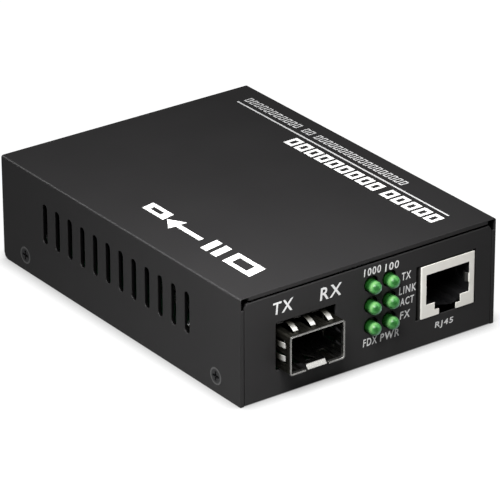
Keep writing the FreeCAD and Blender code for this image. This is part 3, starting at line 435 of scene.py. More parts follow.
@dataclass(frozen=True)
class CollarSheet(Finish):
    """Grounding collar: painted highlight on the raised fingers' front halves, painted shade with streaks on the
    rest, a plain rim.
    """

    top: float
    side: float
    front: float
    slot: Slot = Slot.PLATED_STEEL
    # painted highlight on the raised fingers' front halves
    tin_and_highlight: Colour = (0.47, 0.465, 0.45)
    # painted shade, and its lighter streaks, on the rest of the sheet
    shade_behind: Colour = (0.10, 0.097, 0.08)
    highlight_and_streak: Colour = (0.15, 0.1455, 0.12)
    rim: Colour = (0.30, 0.30, 0.29)
    top_rise: Span = (0.1 * MM, 0.3 * MM)
    side_rise: Span = (-0.01 * MM, -0.06 * MM)
    highlight_fade: Span = (1.5 * MM, 4.0 * MM)
    rim_fade: Span = (0.1 * MM, 0.2 * MM)
    streaks: float = 3800.0
    stretch: Point = (1.0, 0.08, 1.0)
    depth: float = 0.003 * MM

    def shader(self, graph: Graph) -> Wire:
        """Streaked sheet whose painted highlight, painted shade and metal follow the height above the flat ring.
        """
        streak = graph.noise(self.streaks, 3.0, self.stretch)
        raised = (graph.axis(Axis.Z) - self.top).ramp(*self.top_rise)
        raised = raised + (graph.axis(Axis.X) - self.side).ramp(*self.side_rise)
        back = graph.axis(Axis.Y) - self.front
        # painted highlight on the fingers' fronts, fading towards the back
        highlit = raised * (1.0 - back.ramp(*self.highlight_fade))
        face = 1.0 - back.ramp(*self.rim_fade)
        ring = graph.mix(face, graph.mix(streak, self.shade_behind, self.highlight_and_streak), self.rim)
        return self.principled(
            graph,
            Base_Color=graph.mix(highlit, ring, self.tin_and_highlight),
            Metallic=1.0 - 0.75 * highlit,
            Roughness=0.22 + 0.14 * streak,
            Normal=graph.bump(streak, self.depth),
        )


@dataclass(frozen=True)
class ContactMetal(GrainedFinish):
    """Gold flash on contact strip, bright and warm with faint wear."""

    slot: Slot = Slot.CONTACT_METAL
    colour: Colour = (0.83, 0.60, 0.24)
    shade: Colour = (0.72, 0.56, 0.30)
    grain: float = 2400.0
    octaves: float = 2.0
    roughness: float = 0.2
    spread: float = 0.15
    depth: float = 0.004 * MM
    metallic: float = 1.0


@dataclass(frozen=True)
class Moulding(GrainedFinish):
    """Glass-filled black connector plastic, matt with fine fibre mottling."""

    slot: Slot = Slot.BLACK_MOULDING
    colour: Colour = (0.003, 0.003, 0.0033)
    shade: Colour = (0.006, 0.006, 0.0066)
    grain: float = 3200.0
    octaves: float = 4.0
    roughness: float = 0.48
    depth: float = 0.009 * MM
    specular: float = 0.25


@dataclass(frozen=True)
class LampResin(Finish):
    """Tinted resin of lamps on an even pitch, whose inner cups show as a darker core, with a painted highlight, a
    painted reflection and painted shade on the surface.
    """

    column: float
    row: float
    tip_y: float
    panel_y: float
    pitch: float = 5.0 * MM
    slot: Slot = Slot.LAMP_RESIN
    colour: Colour = (0.050, 0.210, 0.052)
    deep: Colour = (0.038, 0.160, 0.040)
    core: Colour = (0.014, 0.075, 0.016)
    # painted reflection on the lower right edge
    far_reflection: Colour = (0.210, 0.420, 0.290)
    # painted highlight on the upper left edge
    glint: Colour = (0.105, 0.260, 0.085)
    # painted shade at the root, inside the panel hole
    root: Colour = (0.004, 0.03, 0.004)
    swirls: float = 1500.0
    core_x: float = -0.55 * MM
    core_z: float = 0.45 * MM
    core_edge: Span = (0.3 * MM, 0.9 * MM)
    core_waver: float = 0.6 * MM
    far_reflection_from: Span = (-0.1 * MM, 0.6 * MM)
    glint_from: Span = (-0.4 * MM, -1.0 * MM)
    glint_front: Span = (0.6 * MM, 1.0 * MM)
    glint_back: Span = (1.8 * MM, 1.4 * MM)
    root_shade_from: Span = (-1.7 * MM, -0.4 * MM)

    def shader(self, graph: Graph) -> Wire:
        """Green resin with a dark core, a painted reflection on the far edge, a painted highlight on the near
        edge and painted shade at the root.
        """
        swirl = graph.noise(self.swirls, 2.0)
        across = self.from_middle(graph.axis(Axis.X), self.column)
        up = self.from_middle(graph.axis(Axis.Z), self.row)
        behind_tip = graph.axis(Axis.Y) - self.tip_y
        core_across, core_up = across - self.core_x, up - self.core_z
        radius = (core_across * core_across + core_up * core_up).root() + self.core_waver * (swirl - 0.5)
        fall = (across - up) / math.sqrt(2.0)
        belt = behind_tip.ramp(*self.glint_front) * behind_tip.ramp(*self.glint_back)
        body = graph.mix(swirl.ramp(0.40, 0.60), self.colour, self.deep)
        body = graph.mix(radius.ramp(*self.core_edge), self.core, body)
        # painted reflection on the far edge, then a painted highlight on the near edge
        body = graph.mix(fall.ramp(*self.far_reflection_from), body, self.far_reflection)
        body = graph.mix(fall.ramp(*self.glint_from) * belt, body, self.glint)
        # painted shade at the root, darkest towards the panel
        depth = (graph.axis(Axis.Y) - self.panel_y).ramp(*self.root_shade_from)
        return self.principled(
            graph,
            Base_Color=graph.mix(depth, body, self.root),
            Roughness=0.24 + 0.08 * swirl,
            IOR=1.53,
            Specular_IOR_Level=0.15,
            Transmission_Weight=0.1,
        )

    def from_middle(self, place: Wire, first: float) -> Wire:
        """Distance along one axis from the nearest lamp's middle, given the first lamp's."""
        return (((place - first) / self.pitch + 0.5).fraction() - 0.5) * self.pitch


@dataclass(frozen=True)
class BoardLaminate(Finish):
    """Solder mask with traces."""

    slot: Slot = Slot.BOARD_LAMINATE
    mask: Colour = (0.004, 0.045, 0.018)
    copper: Colour = (0.012, 0.10, 0.035)
    cells: float = 900.0
    depth: float = 0.03 * MM

    def shader(self, graph: Graph) -> Wire:
        """Green mask, lighter over the copper traces."""
        links = {"Vector": graph.place(), "Scale": self.cells}
        lines = graph.add("ShaderNodeTexVoronoi", {"feature": "F1", "distance": "MANHATTAN"}, links, "Distance")
        trace = lines.ramp(0.42, 0.46) - lines.ramp(0.52, 0.56)
        return self.principled(
            graph,
            Base_Color=graph.mix(trace, self.mask, self.copper),
            Roughness=0.34 + 0.1 * trace,
            Normal=graph.bump(trace, self.depth),
        )


@dataclass(frozen=True)
class ChipPackage(Finish):
    """Moulded package whose leads stand out beyond its body."""

    node: str
    reach: float
    slot: Slot = Slot.CHIP_RESIN
    resin: Colour = (0.012, 0.012, 0.013)
    grey: Colour = (0.024, 0.024, 0.025)
    tin_and_highlight: Colour = (0.72, 0.72, 0.70)
    grain: float = 4200.0
    depth: float = 0.008 * MM

    def shader(self, graph: Graph) -> Wire:
        """Black resin inside the body's outline, tinplated metal outside it."""
        low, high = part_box(self.node)
        middle = (low + high) / 2
        metal: Any = 0.0
        for axis, centre, half in zip((Axis.X, Axis.Y), middle, (high - low) / 2):
            metal = metal + ((graph.axis(axis) - centre).magnitude() > half - self.reach)
        metal = metal.ramp(0.0, 1.0)
        grain = graph.noise(self.grain, 3.0)
        return self.principled(
            graph,
            Base_Color=graph.mix(metal, graph.mix(grain, self.resin, self.grey), self.tin_and_highlight),
            Metallic=metal,
            Roughness=0.52 - 0.2 * metal + 0.1 * grain,
            Normal=graph.bump(grain, self.depth),
        )


@dataclass(frozen=True)
class CanMetal(GrainedFinish):
    """Drawn aluminium or tinplate can with upright drawing lines."""

    slot: Slot = Slot.CAN_METAL
    colour: Colour = (0.78, 0.78, 0.79)
    shade: Colour = (0.66, 0.66, 0.67)
    grain: float = 3000.0
    roughness: float = 0.3
    spread: float = 0.12
    depth: float = 0.005 * MM
    metallic: float = 1.0
    stretch: Point = (1.0, 1.0, 0.05)


@dataclass(frozen=True)
class Ferrite(GrainedFinish):
    """Sintered ferrite, dark grey with a sandy grain."""

    slot: Slot = Slot.FERRITE
    colour: Colour = (0.04, 0.04, 0.043)
    shade: Colour = (0.09, 0.09, 0.095)
    grain: float = 5000.0
    octaves: float = 4.0
    roughness: float = 0.6
    depth: float = 0.02 * MM


@dataclass(frozen=True)
class ScreenInk(Finish):
    """Screen printing ink."""

    slot: Slot = Slot.CASE_COAT
    colour: Colour = (0.80, 0.80, 0.79)
    thin: float = 0.86
    grain: float = 3600.0
    depth: float = 0.008 * MM

    def shader(self, graph: Graph) -> Wire:
        """Matt ink with a fine uneven cover."""
        cover = graph.noise(self.grain, 3.0)
        return self.principled(
            graph,
            Base_Color=graph.mix(cover, tuple(self.thin * part for part in self.colour), self.colour),
            Roughness=0.55 + 0.15 * cover,
            Normal=graph.bump(cover, self.depth),
        )


# ---- meshes

@dataclass(frozen=True)
class Softening:
    """How a solid's sharp edges are broken, with the angles that count as sharp, smooth and flat."""

    width: float
    steps: int = 2
    sharp: float = math.radians(50)
    smooth: float = math.radians(38)
    flat: float = math.radians(0.4)
    merge: float = 0.0001 * MM


def paint(node: bpy.types.Object, finish: Finish) -> None:
    """Give a CAD node that stays as it is its finish."""
    node.data.materials.clear()
    node.data.materials.append(finish.material())
    LOG.info("node %s dressed", node.name)


def show(piece: bpy.types.Object, finish: Finish, *nodes: str) -> bpy.types.Object:
    """Give a finished piece its material and its body, and hide the CAD nodes that it stands for.

    Args:
        piece: object at the origin with its place in its mesh.
        finish: its finish.
        nodes: names of the CAD nodes that it replaces.

    Returns:
        The piece.
    """
    piece.data.materials.clear()
    piece.data.materials.append(finish.material())
    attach(piece, ROOT)
    if nodes:
        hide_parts(*nodes)
    LOG.info("piece %s: %d faces", piece.name, len(piece.data.polygons))
    return piece


def mesh_from(shape: bmesh.types.BMesh, name: str) -> bpy.types.Mesh:
    """New mesh with the shape, which is used up."""
    mesh = bpy.data.meshes.new(name)
    shape.to_mesh(mesh)
    shape.free()
    return mesh


def object_from(mesh: bpy.types.Mesh, name: str) -> bpy.types.Object:
    """Link a new object that holds a mesh."""
    piece = bpy.data.objects.new(name, mesh)
    bpy.context.scene.collection.objects.link(piece)
    return piece


def baked(piece: bpy.types.Object) -> bpy.types.Object:
    """Turn the modifiers of a piece into its plain mesh.

    Args:
        piece: object with modifiers.

    Returns:
        The same object with no modifier.
    """
    graph = bpy.context.evaluated_depsgraph_get()
    mesh = bpy.data.meshes.new_from_object(piece.evaluated_get(graph))
    mesh.name = piece.name
    piece.modifiers.clear()
    piece.data = mesh
    return piece


def shade(mesh: bpy.types.Mesh, angle: float) -> None:
    """Shade a mesh smooth, apart from edges sharper than an angle."""
    mesh.polygons.foreach_set("use_smooth", [True] * len(mesh.polygons))
    mesh.set_sharp_from_angle(angle=angle)


def softened(node: bpy.types.Object, name: str, softening: Softening) -> bpy.types.Object:
    """Copy of a CAD node with its sharp edges broken.

    Args:
        node: the CAD node.
        name: name of the new piece.
        softening: how its edges are broken.

    Returns:
        The new piece.
    """
    sheet = bmesh.new()
    sheet.from_mesh(node.data)
    bmesh.ops.remove_doubles(sheet, verts=sheet.verts, dist=softening.merge)
    bmesh.ops.dissolve_limit(sheet, angle_limit=softening.flat, verts=sheet.verts, edges=sheet.edges)
    edges = [edge for edge in sheet.edges if edge.is_manifold and edge.calc_face_angle() > softening.sharp]
    bmesh.ops.bevel(sheet, geom=edges, offset=softening.width, offset_type="OFFSET", segments=softening.steps,
                    profile=0.5, affect="EDGES", clamp_overlap=False)
    mesh = mesh_from(sheet, name)
    shade(mesh, softening.smooth)
    piece = object_from(mesh, name)
    weights = piece.modifiers.new("weights", "WEIGHTED_NORMAL")
    weights.keep_sharp = True
    return baked(piece)


def lathe(profile: Sequence[tuple[float, float]], steps: int) -> bpy.types.Mesh:
    """Turned mesh along +Y: the profile holds (distance along Y, radius) pairs and closes at both poles.

    Args:
        profile: outline from one pole to the other, both of radius 0.
        steps: segments round the axis.

    Returns:
        A closed mesh whose faces point outwards.
    """
    turned = bmesh.new()
    turns = [2 * math.pi * i / steps for i in range(steps)]
    rings = []
    for along, radius in profile:
        if radius == 0.0:
            rings.append([turned.verts.new((0.0, along, 0.0))] * steps)
        else:
            rings.append([turned.verts.new((radius * math.sin(t), along, radius * math.cos(t))) for t in turns])
    for near, far in zip(rings, rings[1:]):
        for i in range(steps):
            corners = dict.fromkeys((near[i - 1], near[i], far[i], far[i - 1]))
            turned.faces.new(list(corners))
    bmesh.ops.recalc_face_normals(turned, faces=turned.faces)
    return mesh_from(turned, "turned")


@dataclass(frozen=True)
class Spacing:
    """Where copies stand: columns of rows from a first place, with a turn about Z for each column."""

    columns: int
    column_step: Point = (0.0, 0.0, 0.0)
    rows: int = 1
    row_step: Point = (0.0, 0.0, 0.0)
    first: Point = (0.0, 0.0, 0.0)
    turn: float = 0.0


class GridTree:
    """Geometry Nodes tree that sets copies of the incoming mesh on a grid of points."""

    SOCKETS = {
        "columns": "NodeSocketInt", "column_step": "NodeSocketVector", "rows": "NodeSocketInt",
        "row_step": "NodeSocketVector", "first": "NodeSocketVector", "turn": "NodeSocketFloat",
        "finish": "NodeSocketMaterial",
    }

    def __init__(self) -> None:
        """Build the tree."""
        self.tree = bpy.data.node_groups.new("grid_of_copies", "GeometryNodeTree")
        face = self.tree.interface
        face.new_socket("Geometry", in_out="INPUT", socket_type="NodeSocketGeometry")
        self.names = {}
        for name, kind in self.SOCKETS.items():
            self.names[name] = face.new_socket(name, in_out="INPUT", socket_type=kind).identifier
        face.new_socket("Geometry", in_out="OUTPUT", socket_type="NodeSocketGeometry")
        self._wire()

    def _add(self, kind: str, links: dict[Any, Any], **settings: Any) -> bpy.types.NodeSocket:
        """Add a node with links or values of its inputs and return its first output."""
        return new_node(self.tree, kind, settings, links).outputs[0]

    def _wire(self) -> None:
        """Points in rows and columns, a turn for each column, copies, then real meshes with a finish."""
        given = new_node(self.tree, "NodeGroupInput", {}, {}).outputs
        rows = self._add(
            "GeometryNodeMeshLine", {"Count": given["rows"], "Offset": given["row_step"]}, mode="OFFSET")
        starts = {"Count": given["columns"], "Start Location": given["first"], "Offset": given["column_step"]}
        columns = self._add("GeometryNodeMeshLine", starts, mode="OFFSET")
        index = self._add("GeometryNodeInputIndex", {})
        turn = self._add("ShaderNodeMath", {0: index, 1: given["turn"]}, operation="MULTIPLY")
        stored = self._add(
            "GeometryNodeStoreNamedAttribute", {"Geometry": columns, "Name": "turn", "Value": turn},
            data_type="FLOAT", domain="POINT")
        placed = self._add("GeometryNodeInstanceOnPoints", {"Points": stored, "Instance": rows})
        points = self._add("GeometryNodeRealizeInstances", {"Geometry": placed})
        read = self._add("GeometryNodeInputNamedAttribute", {"Name": "turn"}, data_type="FLOAT")
        spin = self._add("ShaderNodeCombineXYZ", {"Z": read})
        copies = self._add(
            "GeometryNodeInstanceOnPoints", {"Points": points, "Instance": given["Geometry"], "Rotation": spin})
        real = self._add("GeometryNodeRealizeInstances", {"Geometry": copies})
        dressed = self._add("GeometryNodeSetMaterial", {"Geometry": real, "Material": given["finish"]})
        new_node(self.tree, "NodeGroupOutput", {}, {0: dressed})

    def repeat(self, mesh: bpy.types.Mesh, name: str, finish: Finish, spacing: Spacing) -> bpy.types.Object:
        """Make a piece from copies of a mesh.

        Args:
            mesh: what is repeated.
            name: name of the piece.
            finish: its finish.
            spacing: where the copies stand.

        Returns:
            The piece as a plain mesh.
        """
        piece = object_from(mesh, name)
        modifier = piece.modifiers.new("grid", "NODES")
        modifier.node_group = self.tree
        for key, value in {**asdict(spacing), "finish": finish.material()}.items():
            modifier[self.names[key]] = value
        return baked(piece)


def flat_plate(curve: bpy.types.Curve, thickness: float) -> bpy.types.Mesh:
    """Closed thin plate with the filled outline of a flat curve or text, lying on z = 0 and facing +Z.

    Args:
        curve: the curve or text, which is used up.
        thickness: height of the plate.

    Returns:
        The plate's mesh.
    """
    curve.fill_mode = "BOTH"
    curve.extrude = 0.5
    holder = bpy.data.objects.new("outline", curve)
    bpy.context.scene.collection.objects.link(holder)
    graph = bpy.context.evaluated_depsgraph_get()
    mesh = bpy.data.meshes.new_from_object(holder.evaluated_get(graph))
    bpy.data.objects.remove(holder)
    bpy.data.curves.remove(curve)
    plate = bmesh.new()
    plate.from_mesh(mesh)
    bmesh.ops.remove_doubles(plate, verts=plate.verts, dist=1e-6)
    bmesh.ops.recalc_face_normals(plate, faces=plate.faces)
    plate.to_mesh(mesh)
    plate.free()
    mesh.transform(Matrix.Diagonal((1.0, 1.0, thickness, 1.0)))
    return mesh


def word(text: str, lean: float, weight: float, spacing: float) -> bpy.types.Curve:
    """Text in the built-in typeface.

    Args:
        text: what it says.
        lean: slope of the letters to the right.
        weight: how much the strokes are thickened, as a part of the letters' size.
        spacing: distance between letters, against the typeface's own.

    Returns:
        The text curve.
    """
    curve = bpy.data.curves.new("word", "FONT")
    curve.body = text
    curve.shear = lean
    curve.offset = weight
    curve.space_character = spacing
    curve.resolution_u = 3
    return curve


def outline(loops: Iterable[Loop]) -> bpy.types.Curve:
    """Flat curve of closed straight-sided loops; a loop inside another one is a hole."""
    curve = bpy.data.curves.new("loops", "CURVE")
    curve.dimensions = "2D"
    for loop in loops:
        spline = curve.splines.new("POLY")
        spline.points.add(len(loop) - 1)
        for point, (u, v) in zip(spline.points, loop):
            point.co = (u, v, 0.0, 1.0)
        spline.use_cyclic_u = True
    return curve


def box_loop(left: float, right: float, low: float, high: float, lean: float = 0.0) -> Loop:
    """Corners of a box whose top is pushed to the right by a lean."""
    push = lean * (high - low)
    return [(left, low), (right, low), (right + push, high), (left + push, high)]


def fitted(mesh: bpy.types.Mesh, across: Span, upright: Span) -> bpy.types.Mesh:
    """Stretch a flat mesh to two limits across and two limits upwards."""
    points = [vertex.co for vertex in mesh.vertices]
    low = Vector((min(p.x for p in points), min(p.y for p in points), 0.0))
    high = Vector((max(p.x for p in points), max(p.y for p in points), 0.0))
    scale = ((across[1] - across[0]) / (high.x - low.x), (upright[1] - upright[0]) / (high.y - low.y), 1.0, 1.0)
    middle = Vector((sum(across) / 2, sum(upright) / 2, 0.0))
    mesh.transform(Matrix.Translation(middle) @ Matrix.Diagonal(scale) @ Matrix.Translation(-(low + high) / 2))
    return mesh


def joined(meshes: Iterable[bpy.types.Mesh], name: str) -> bpy.types.Mesh:
    """One mesh from several, which are used up."""
    whole = bmesh.new()
    for mesh in meshes:
        whole.from_mesh(mesh)
        bpy.data.meshes.remove(mesh)
    return mesh_from(whole, name)


# ---- sub-assemblies

@dataclass
class Assembly:
    """Base of the sub-assemblies: the CAD nodes by name."""

    nodes: dict[str, bpy.types.Object]

    def replace(self, node: str, name: str, edge: Softening, finish: Finish) -> bpy.types.Object:
        """Put a copy with broken edges in a CAD node's place."""
        return show(softened(self.nodes[node], name, edge), finish, node)


@dataclass(frozen=True)
class Legend:
    """A generic function mark on the front panel: its text and the place of its capitals, in millimetres."""

    text: str
    left: float
    right: float
    low: float
    height: float = 1.85


@dataclass(frozen=True)
class Frame:
    """A hollow frame of the top's print, in millimetres."""

    width: float
    height: float
    stroke: float
    low: float

    def loops(self) -> list[Loop]:
        """Outer and inner outline at the origin, in metres."""
        right, low, high, inset = (
            size * MM for size in (self.width, self.low, self.low + self.height, self.stroke))
        inner = box_loop(inset, right - inset, low + inset, high - inset)
        return [box_loop(0.0, right, low, high), inner]


TICK = Frame(width=1.3, height=2.3, stroke=0.3, low=-31.0)


@dataclass(frozen=True)
class FrameRow:
    """A row of equal frames: their first place and their pitch in millimetres."""

    name: str
    frame: Frame
    start: float
    count: int
    pitch: float


@dataclass
class PanelPrint:
    """Screen print: function marks of the front panel, and plain shapes on the top."""

    grid: GridTree
    ink: ScreenInk = ScreenInk()
    # front panel ink, toned darker than the top's ink as painted shade
    shaded_panel_ink: ScreenInk = ScreenInk(colour=(0.54, 0.54, 0.54))
    faint: ScreenInk = ScreenInk(colour=(0.50, 0.50, 0.50))
    lean: float = 0.10
    weight: float = 0.014
    spacing: float = 1.2
    legends: tuple[Legend, ...] = (
        Legend("TX", -26.3, -21.0, 19.65, 2.9), Legend("RX", -13.8, -7.85, 19.5, 3.0),
        Legend("1000", -1.9, 2.8, 21.8), Legend("100", 3.9, 7.75, 21.5), Legend("TX", 8.6, 11.15, 18.0),
        Legend("LINK", 7.85, 12.6, 14.65), Legend("ACT", 8.2, 12.1, 11.85), Legend("FX", 8.2, 11.05, 8.6),
        Legend("FDX", -1.95, 1.95, 4.8), Legend("PWR", 2.75, 8.05, 4.8), Legend("RJ45", 18.15, 23.3, 3.2))
    blocks: tuple[FrameRow, ...] = (
        FrameRow("top_blocks_first", Frame(3.1, 3.9, 0.9, -25.6), -40.5, 5, 3.95),
        FrameRow("top_blocks_second", Frame(3.05, 3.9, 0.9, -25.6), -19.4, 9, 3.86))
    ticks: tuple[FrameRow, ...] = (
        FrameRow("top_ticks_first", TICK, -20.8, 18, 1.88), FrameRow("top_ticks_second", TICK, 14.1, 2, 1.88),
        FrameRow("top_ticks_third", TICK, 19.3, 11, 1.92))
    line: tuple[float, float, float, float] = (-40.0, 40.2, -27.35, -26.9)
    sign_low: float = 21.7
    sign_high: float = 26.8
    sign_lean: float = -0.2

    def build(self) -> None:
        """Make and dress every piece."""
        low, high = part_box("top_cover")
        self.front(low.y)
        self.top(high.z)

    def front(self, face: float) -> None:
        """Function marks, a film's thickness proud of the panel."""
        meshes = []
        for legend in self.legends:
            plate = flat_plate(word(legend.text, self.lean, self.weight, self.spacing), FILM)
            upright = (legend.low * MM, (legend.low + legend.height) * MM)
            meshes.append(fitted(plate, (legend.left * MM, legend.right * MM), upright))
        mesh = joined(meshes, "front_marks")
        mesh.transform(Matrix.Translation((0.0, face, 0.0)) @ Matrix.Rotation(math.radians(90), 4, "X"))
        show(object_from(mesh, "front_marks"), self.shaded_panel_ink)

    def top(self, face: float) -> None:
        """Pictogram on the left, and two rows of frames with a line between them on the right."""
        turn = Matrix.Translation((0.0, 0.0, face - FILM / 2)) @ Matrix.Rotation(math.radians(90), 4, "Z")
        line = [box_loop(*(limit * MM for limit in self.line))]
        for loops, name, ink in ((self.pictogram(), "top_pictogram", self.ink), (line, "top_line", self.faint)):
            mesh = flat_plate(outline(loops), FILM)
            mesh.transform(turn)
            show(object_from(mesh, name), ink)
        for rows, ink in ((self.blocks, self.ink), (self.ticks, self.faint)):
            for row in rows:
                mesh = flat_plate(outline(row.frame.loops()), FILM)
                mesh.transform(turn)
                spacing = Spacing(row.count, (0.0, row.pitch * MM, 0.0), first=(0.0, row.start * MM, 0.0))
                show(self.grid.repeat(mesh, row.name, ink, spacing), ink)

    def pictogram(self) -> list[Loop]:
        """Port frame, two bars, an arrow and a ring, in metres; all but the arrow lean to the left."""
        low, high, lean = self.sign_low, self.sign_high, self.sign_lean
        shaft_low, shaft_high = low + 1.9, high - 1.9
        arrow = [(-17.6, shaft_low), (-8.6, shaft_low), (-8.6, low), (-4.4, (low + high) / 2), (-8.6, high),
                 (-8.6, shaft_high), (-17.6, shaft_high)]
        loops = [
            box_loop(-38.0, -28.0, low, high, lean), box_loop(-35.8, -30.2, low + 1.2, high - 1.2, lean),
            box_loop(-25.6, -23.4, low, high, lean), box_loop(-22.0, -19.8, low, high, lean), arrow,
            box_loop(-3.4, 4.6, low, high - 1.6, lean), box_loop(-1.4, 2.6, low + 1.1, high - 2.7, lean)]
        return [[(u * MM, v * MM) for u, v in loop] for loop in loops]


@dataclass
class Case(Assembly):
    """Base, cover and the four cover screws."""

    grid: GridTree
    edge: Softening = Softening(0.12 * MM)
    head_steps: int = 40
    head_smooth: float = math.radians(35)
    screw_length: float = 3.8 * MM
    shank: float = 1.25 * MM
    tip: float = 0.3 * MM
    rim_depth: float = 0.05 * MM
    rim_width: float = 0.06 * MM
    recess: Point = (0.7 * MM, 1.15 * MM, 0.3 * MM)

    def build(self) -> None:
        """Make and dress every piece."""
        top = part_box("top_cover")[1]
        coat = PowderCoat(half_width=top.x, half_length=top.y, height=top.z)
        cover = self.replace("top_cover", "top_cover_sheet", self.edge, coat)
        self.replace("base_chassis", "base_chassis_sheet", self.edge, coat)
        self.sink_top(cover.data, top.z - FILM)
        self.screws()

    def sink_top(self, mesh: bpy.types.Mesh, height: float) -> None:
        """Lower the cover's top face to a height, so that the print ends flush with the solid."""
        for vertex in mesh.vertices:
            vertex.co.z = min(vertex.co.z, height)

    def screws(self) -> None:
        """Countersunk screws with cross recesses, one on each corner of both sides."""
        low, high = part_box("cover_screws")
        half_box = (high.z - low.z) / 2
        radius = half_box / math.cos(math.pi / CAD_SIDES)
        profile = [
            (0.0, 0.0), (0.0, radius - self.rim_width), (self.rim_depth, radius),
            (radius - self.shank, self.shank), (self.screw_length - self.tip, self.shank),
            (self.screw_length, self.shank - self.tip), (self.screw_length, 0.0)]
        screw = object_from(lathe(profile, self.head_steps), "screw_blank")
        screw.data.transform(Matrix.Rotation(math.radians(90), 4, "Z"))
        self.cut_recess(screw)
        shade(screw.data, self.head_smooth)
        screw.data.transform(Matrix.Translation((high.x, 0.0, 0.0)))
        reach = high.y - half_box
        middle_z = (low.z + high.z) / 2
        oxide = BlackOxide(reach=reach, middle_z=middle_z)
        corners = Spacing(columns=2, rows=2, row_step=(0.0, 2 * reach, 0.0), first=(0.0, -reach, middle_z),
                          turn=math.pi)
        piece = self.grid.repeat(screw.data, "cover_screw_set", oxide, corners)
        bpy.data.objects.remove(screw)
        show(piece, oxide, "cover_screws")

    def cut_recess(self, screw: bpy.types.Object) -> None:
        """Cut the cross recess into the head, which faces +X at the origin."""
        cross = bmesh.new()
        for turn in (0.0, 90.0):
            size = Matrix.Diagonal((*(2 * part for part in self.recess), 1.0))
            bmesh.ops.create_cube(cross, size=1.0, matrix=Matrix.Rotation(math.radians(turn), 4, "X") @ size)
        cutter = object_from(mesh_from(cross, "cross"), "cross")
        cut = screw.modifiers.new("recess", "BOOLEAN")
        cut.operation = "DIFFERENCE"
        cut.solver = "EXACT"
        cut.use_self = True
        cut.object = cutter
        baked(screw)
        bpy.data.objects.remove(cutter)


@dataclass
class FibrePort(Assembly):
    """Cage, grounding collar and the board connector inside it."""

    # cage: painted shade behind its front edge, inside the opening
    cage_steel: PlatedSheet = PlatedSheet(
        fade=(-50.6 * MM, -50.2 * MM), colour=(0.60, 0.595, 0.57), shade=(0.54, 0.535, 0.51), shade_behind=0.22)
    rise_top: float = 1.35 * MM
    rise_side: float = 0.45 * MM
    moulding: Moulding = Moulding()
    contact: ContactMetal = ContactMetal()
    edge: Softening = Softening(0.05 * MM)

    def build(self) -> None:
        """Make and dress every piece."""
        self.replace("sfp_cage", "fibre_cage_sheet", self.edge, self.cage_steel)
        low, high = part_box("sfp_emi_collar")
        steel = CollarSheet(top=high.z - self.rise_top, side=low.x + self.rise_side, front=low.y)
        self.replace("sfp_emi_collar", "fibre_collar_sheet", self.edge, steel)
        paint(self.nodes["sfp_host_connector"], self.moulding)
        paint(self.nodes["sfp_host_contacts"], self.contact)


@dataclass
class NetworkJack(Assembly):
    """Shield, insulator and wires of the network jack."""

    # shield: painted shade, near black, behind the panel face
    shield_steel: PlatedSheet = PlatedSheet(
        fade=(-47.05 * MM, -46.95 * MM), colour=(0.80, 0.785, 0.735), shade=(0.72, 0.705, 0.655), shade_behind=0.03,
        roughness=0.38, metallic=0.35, stretch=(1.0, 1.0, 0.1))
    moulding: Moulding = Moulding()
    contact: ContactMetal = ContactMetal()
    edge: Softening = Softening(0.08 * MM)

    def build(self) -> None:
        """Make and dress every piece."""
        self.replace("rj45_shield", "jack_shield_sheet", self.edge, self.shield_steel)
        self.replace("rj45_insulator", "jack_insulator_body", self.edge, self.moulding)
        paint(self.nodes["rj45_contacts"], self.contact)


@dataclass
class LampCluster(Assembly):
    """Two columns of three lamps, with their holders and leads."""

    moulding: Moulding = Moulding()
    lead: CanMetal = CanMetal(slot=Slot.LEAD_METAL)
    steps: int = 40
    dome_steps: int = 10
    smooth: float = math.radians(40)
    flange_depth: float = 0.9 * MM
    flange_width: float = 0.4 * MM

    def build(self) -> None:
        """Make and dress every piece."""
        low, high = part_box("lamp_lower_left")
        first = (low + high) / 2
        resin = LampResin(column=first.x, row=first.z, tip_y=low.y, panel_y=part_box("base_chassis")[0].y)
        for column in ("left", "right"):
            paint(self.nodes[f"lamp_holder_{column}"], self.moulding)
            for row in ("lower", "middle", "upper"):
                self.lamp(f"lamp_{row}_{column}", resin)
        paint(self.nodes["lamp_leads"], self.lead)

    def lamp(self, node: str, resin: LampResin) -> None:
        """Turn one smooth lamp in the place of its CAD node."""
        low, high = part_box(node)
        rim = (high.x - low.x) / 2 / math.cos(math.pi / CAD_SIDES)
        radius = rim - self.flange_width
        turns = [math.pi / 2 * i / self.dome_steps for i in range(self.dome_steps + 1)]
        dome = [(radius * (1 - math.cos(t)), radius * math.sin(t)) for t in turns]
        length = high.y - low.y
        flange = length - self.flange_depth
        mesh = lathe(dome + [(flange, radius), (flange, rim), (length, rim), (length, 0.0)], self.steps)
        middle = (low + high) / 2
        mesh.transform(Matrix.Translation((middle.x, low.y, middle.z)))
        shade(mesh, self.smooth)
        show(object_from(mesh, f"{node}_lens"), resin, node)


@dataclass
class PowerInlet(Assembly):
    """Low voltage inlet in the rear panel."""

    moulding: Moulding = Moulding()
    pin: CanMetal = CanMetal(slot=Slot.CONTACT_METAL)
    edge: Softening = Softening(0.12 * MM)

    def build(self) -> None:
        """Make and dress every piece."""
        self.replace("dc_jack_housing", "inlet_body", self.edge, self.moulding)
        paint(self.nodes["dc_jack_pin"], self.pin)
        paint(self.nodes["dc_jack_leaf"], self.pin)


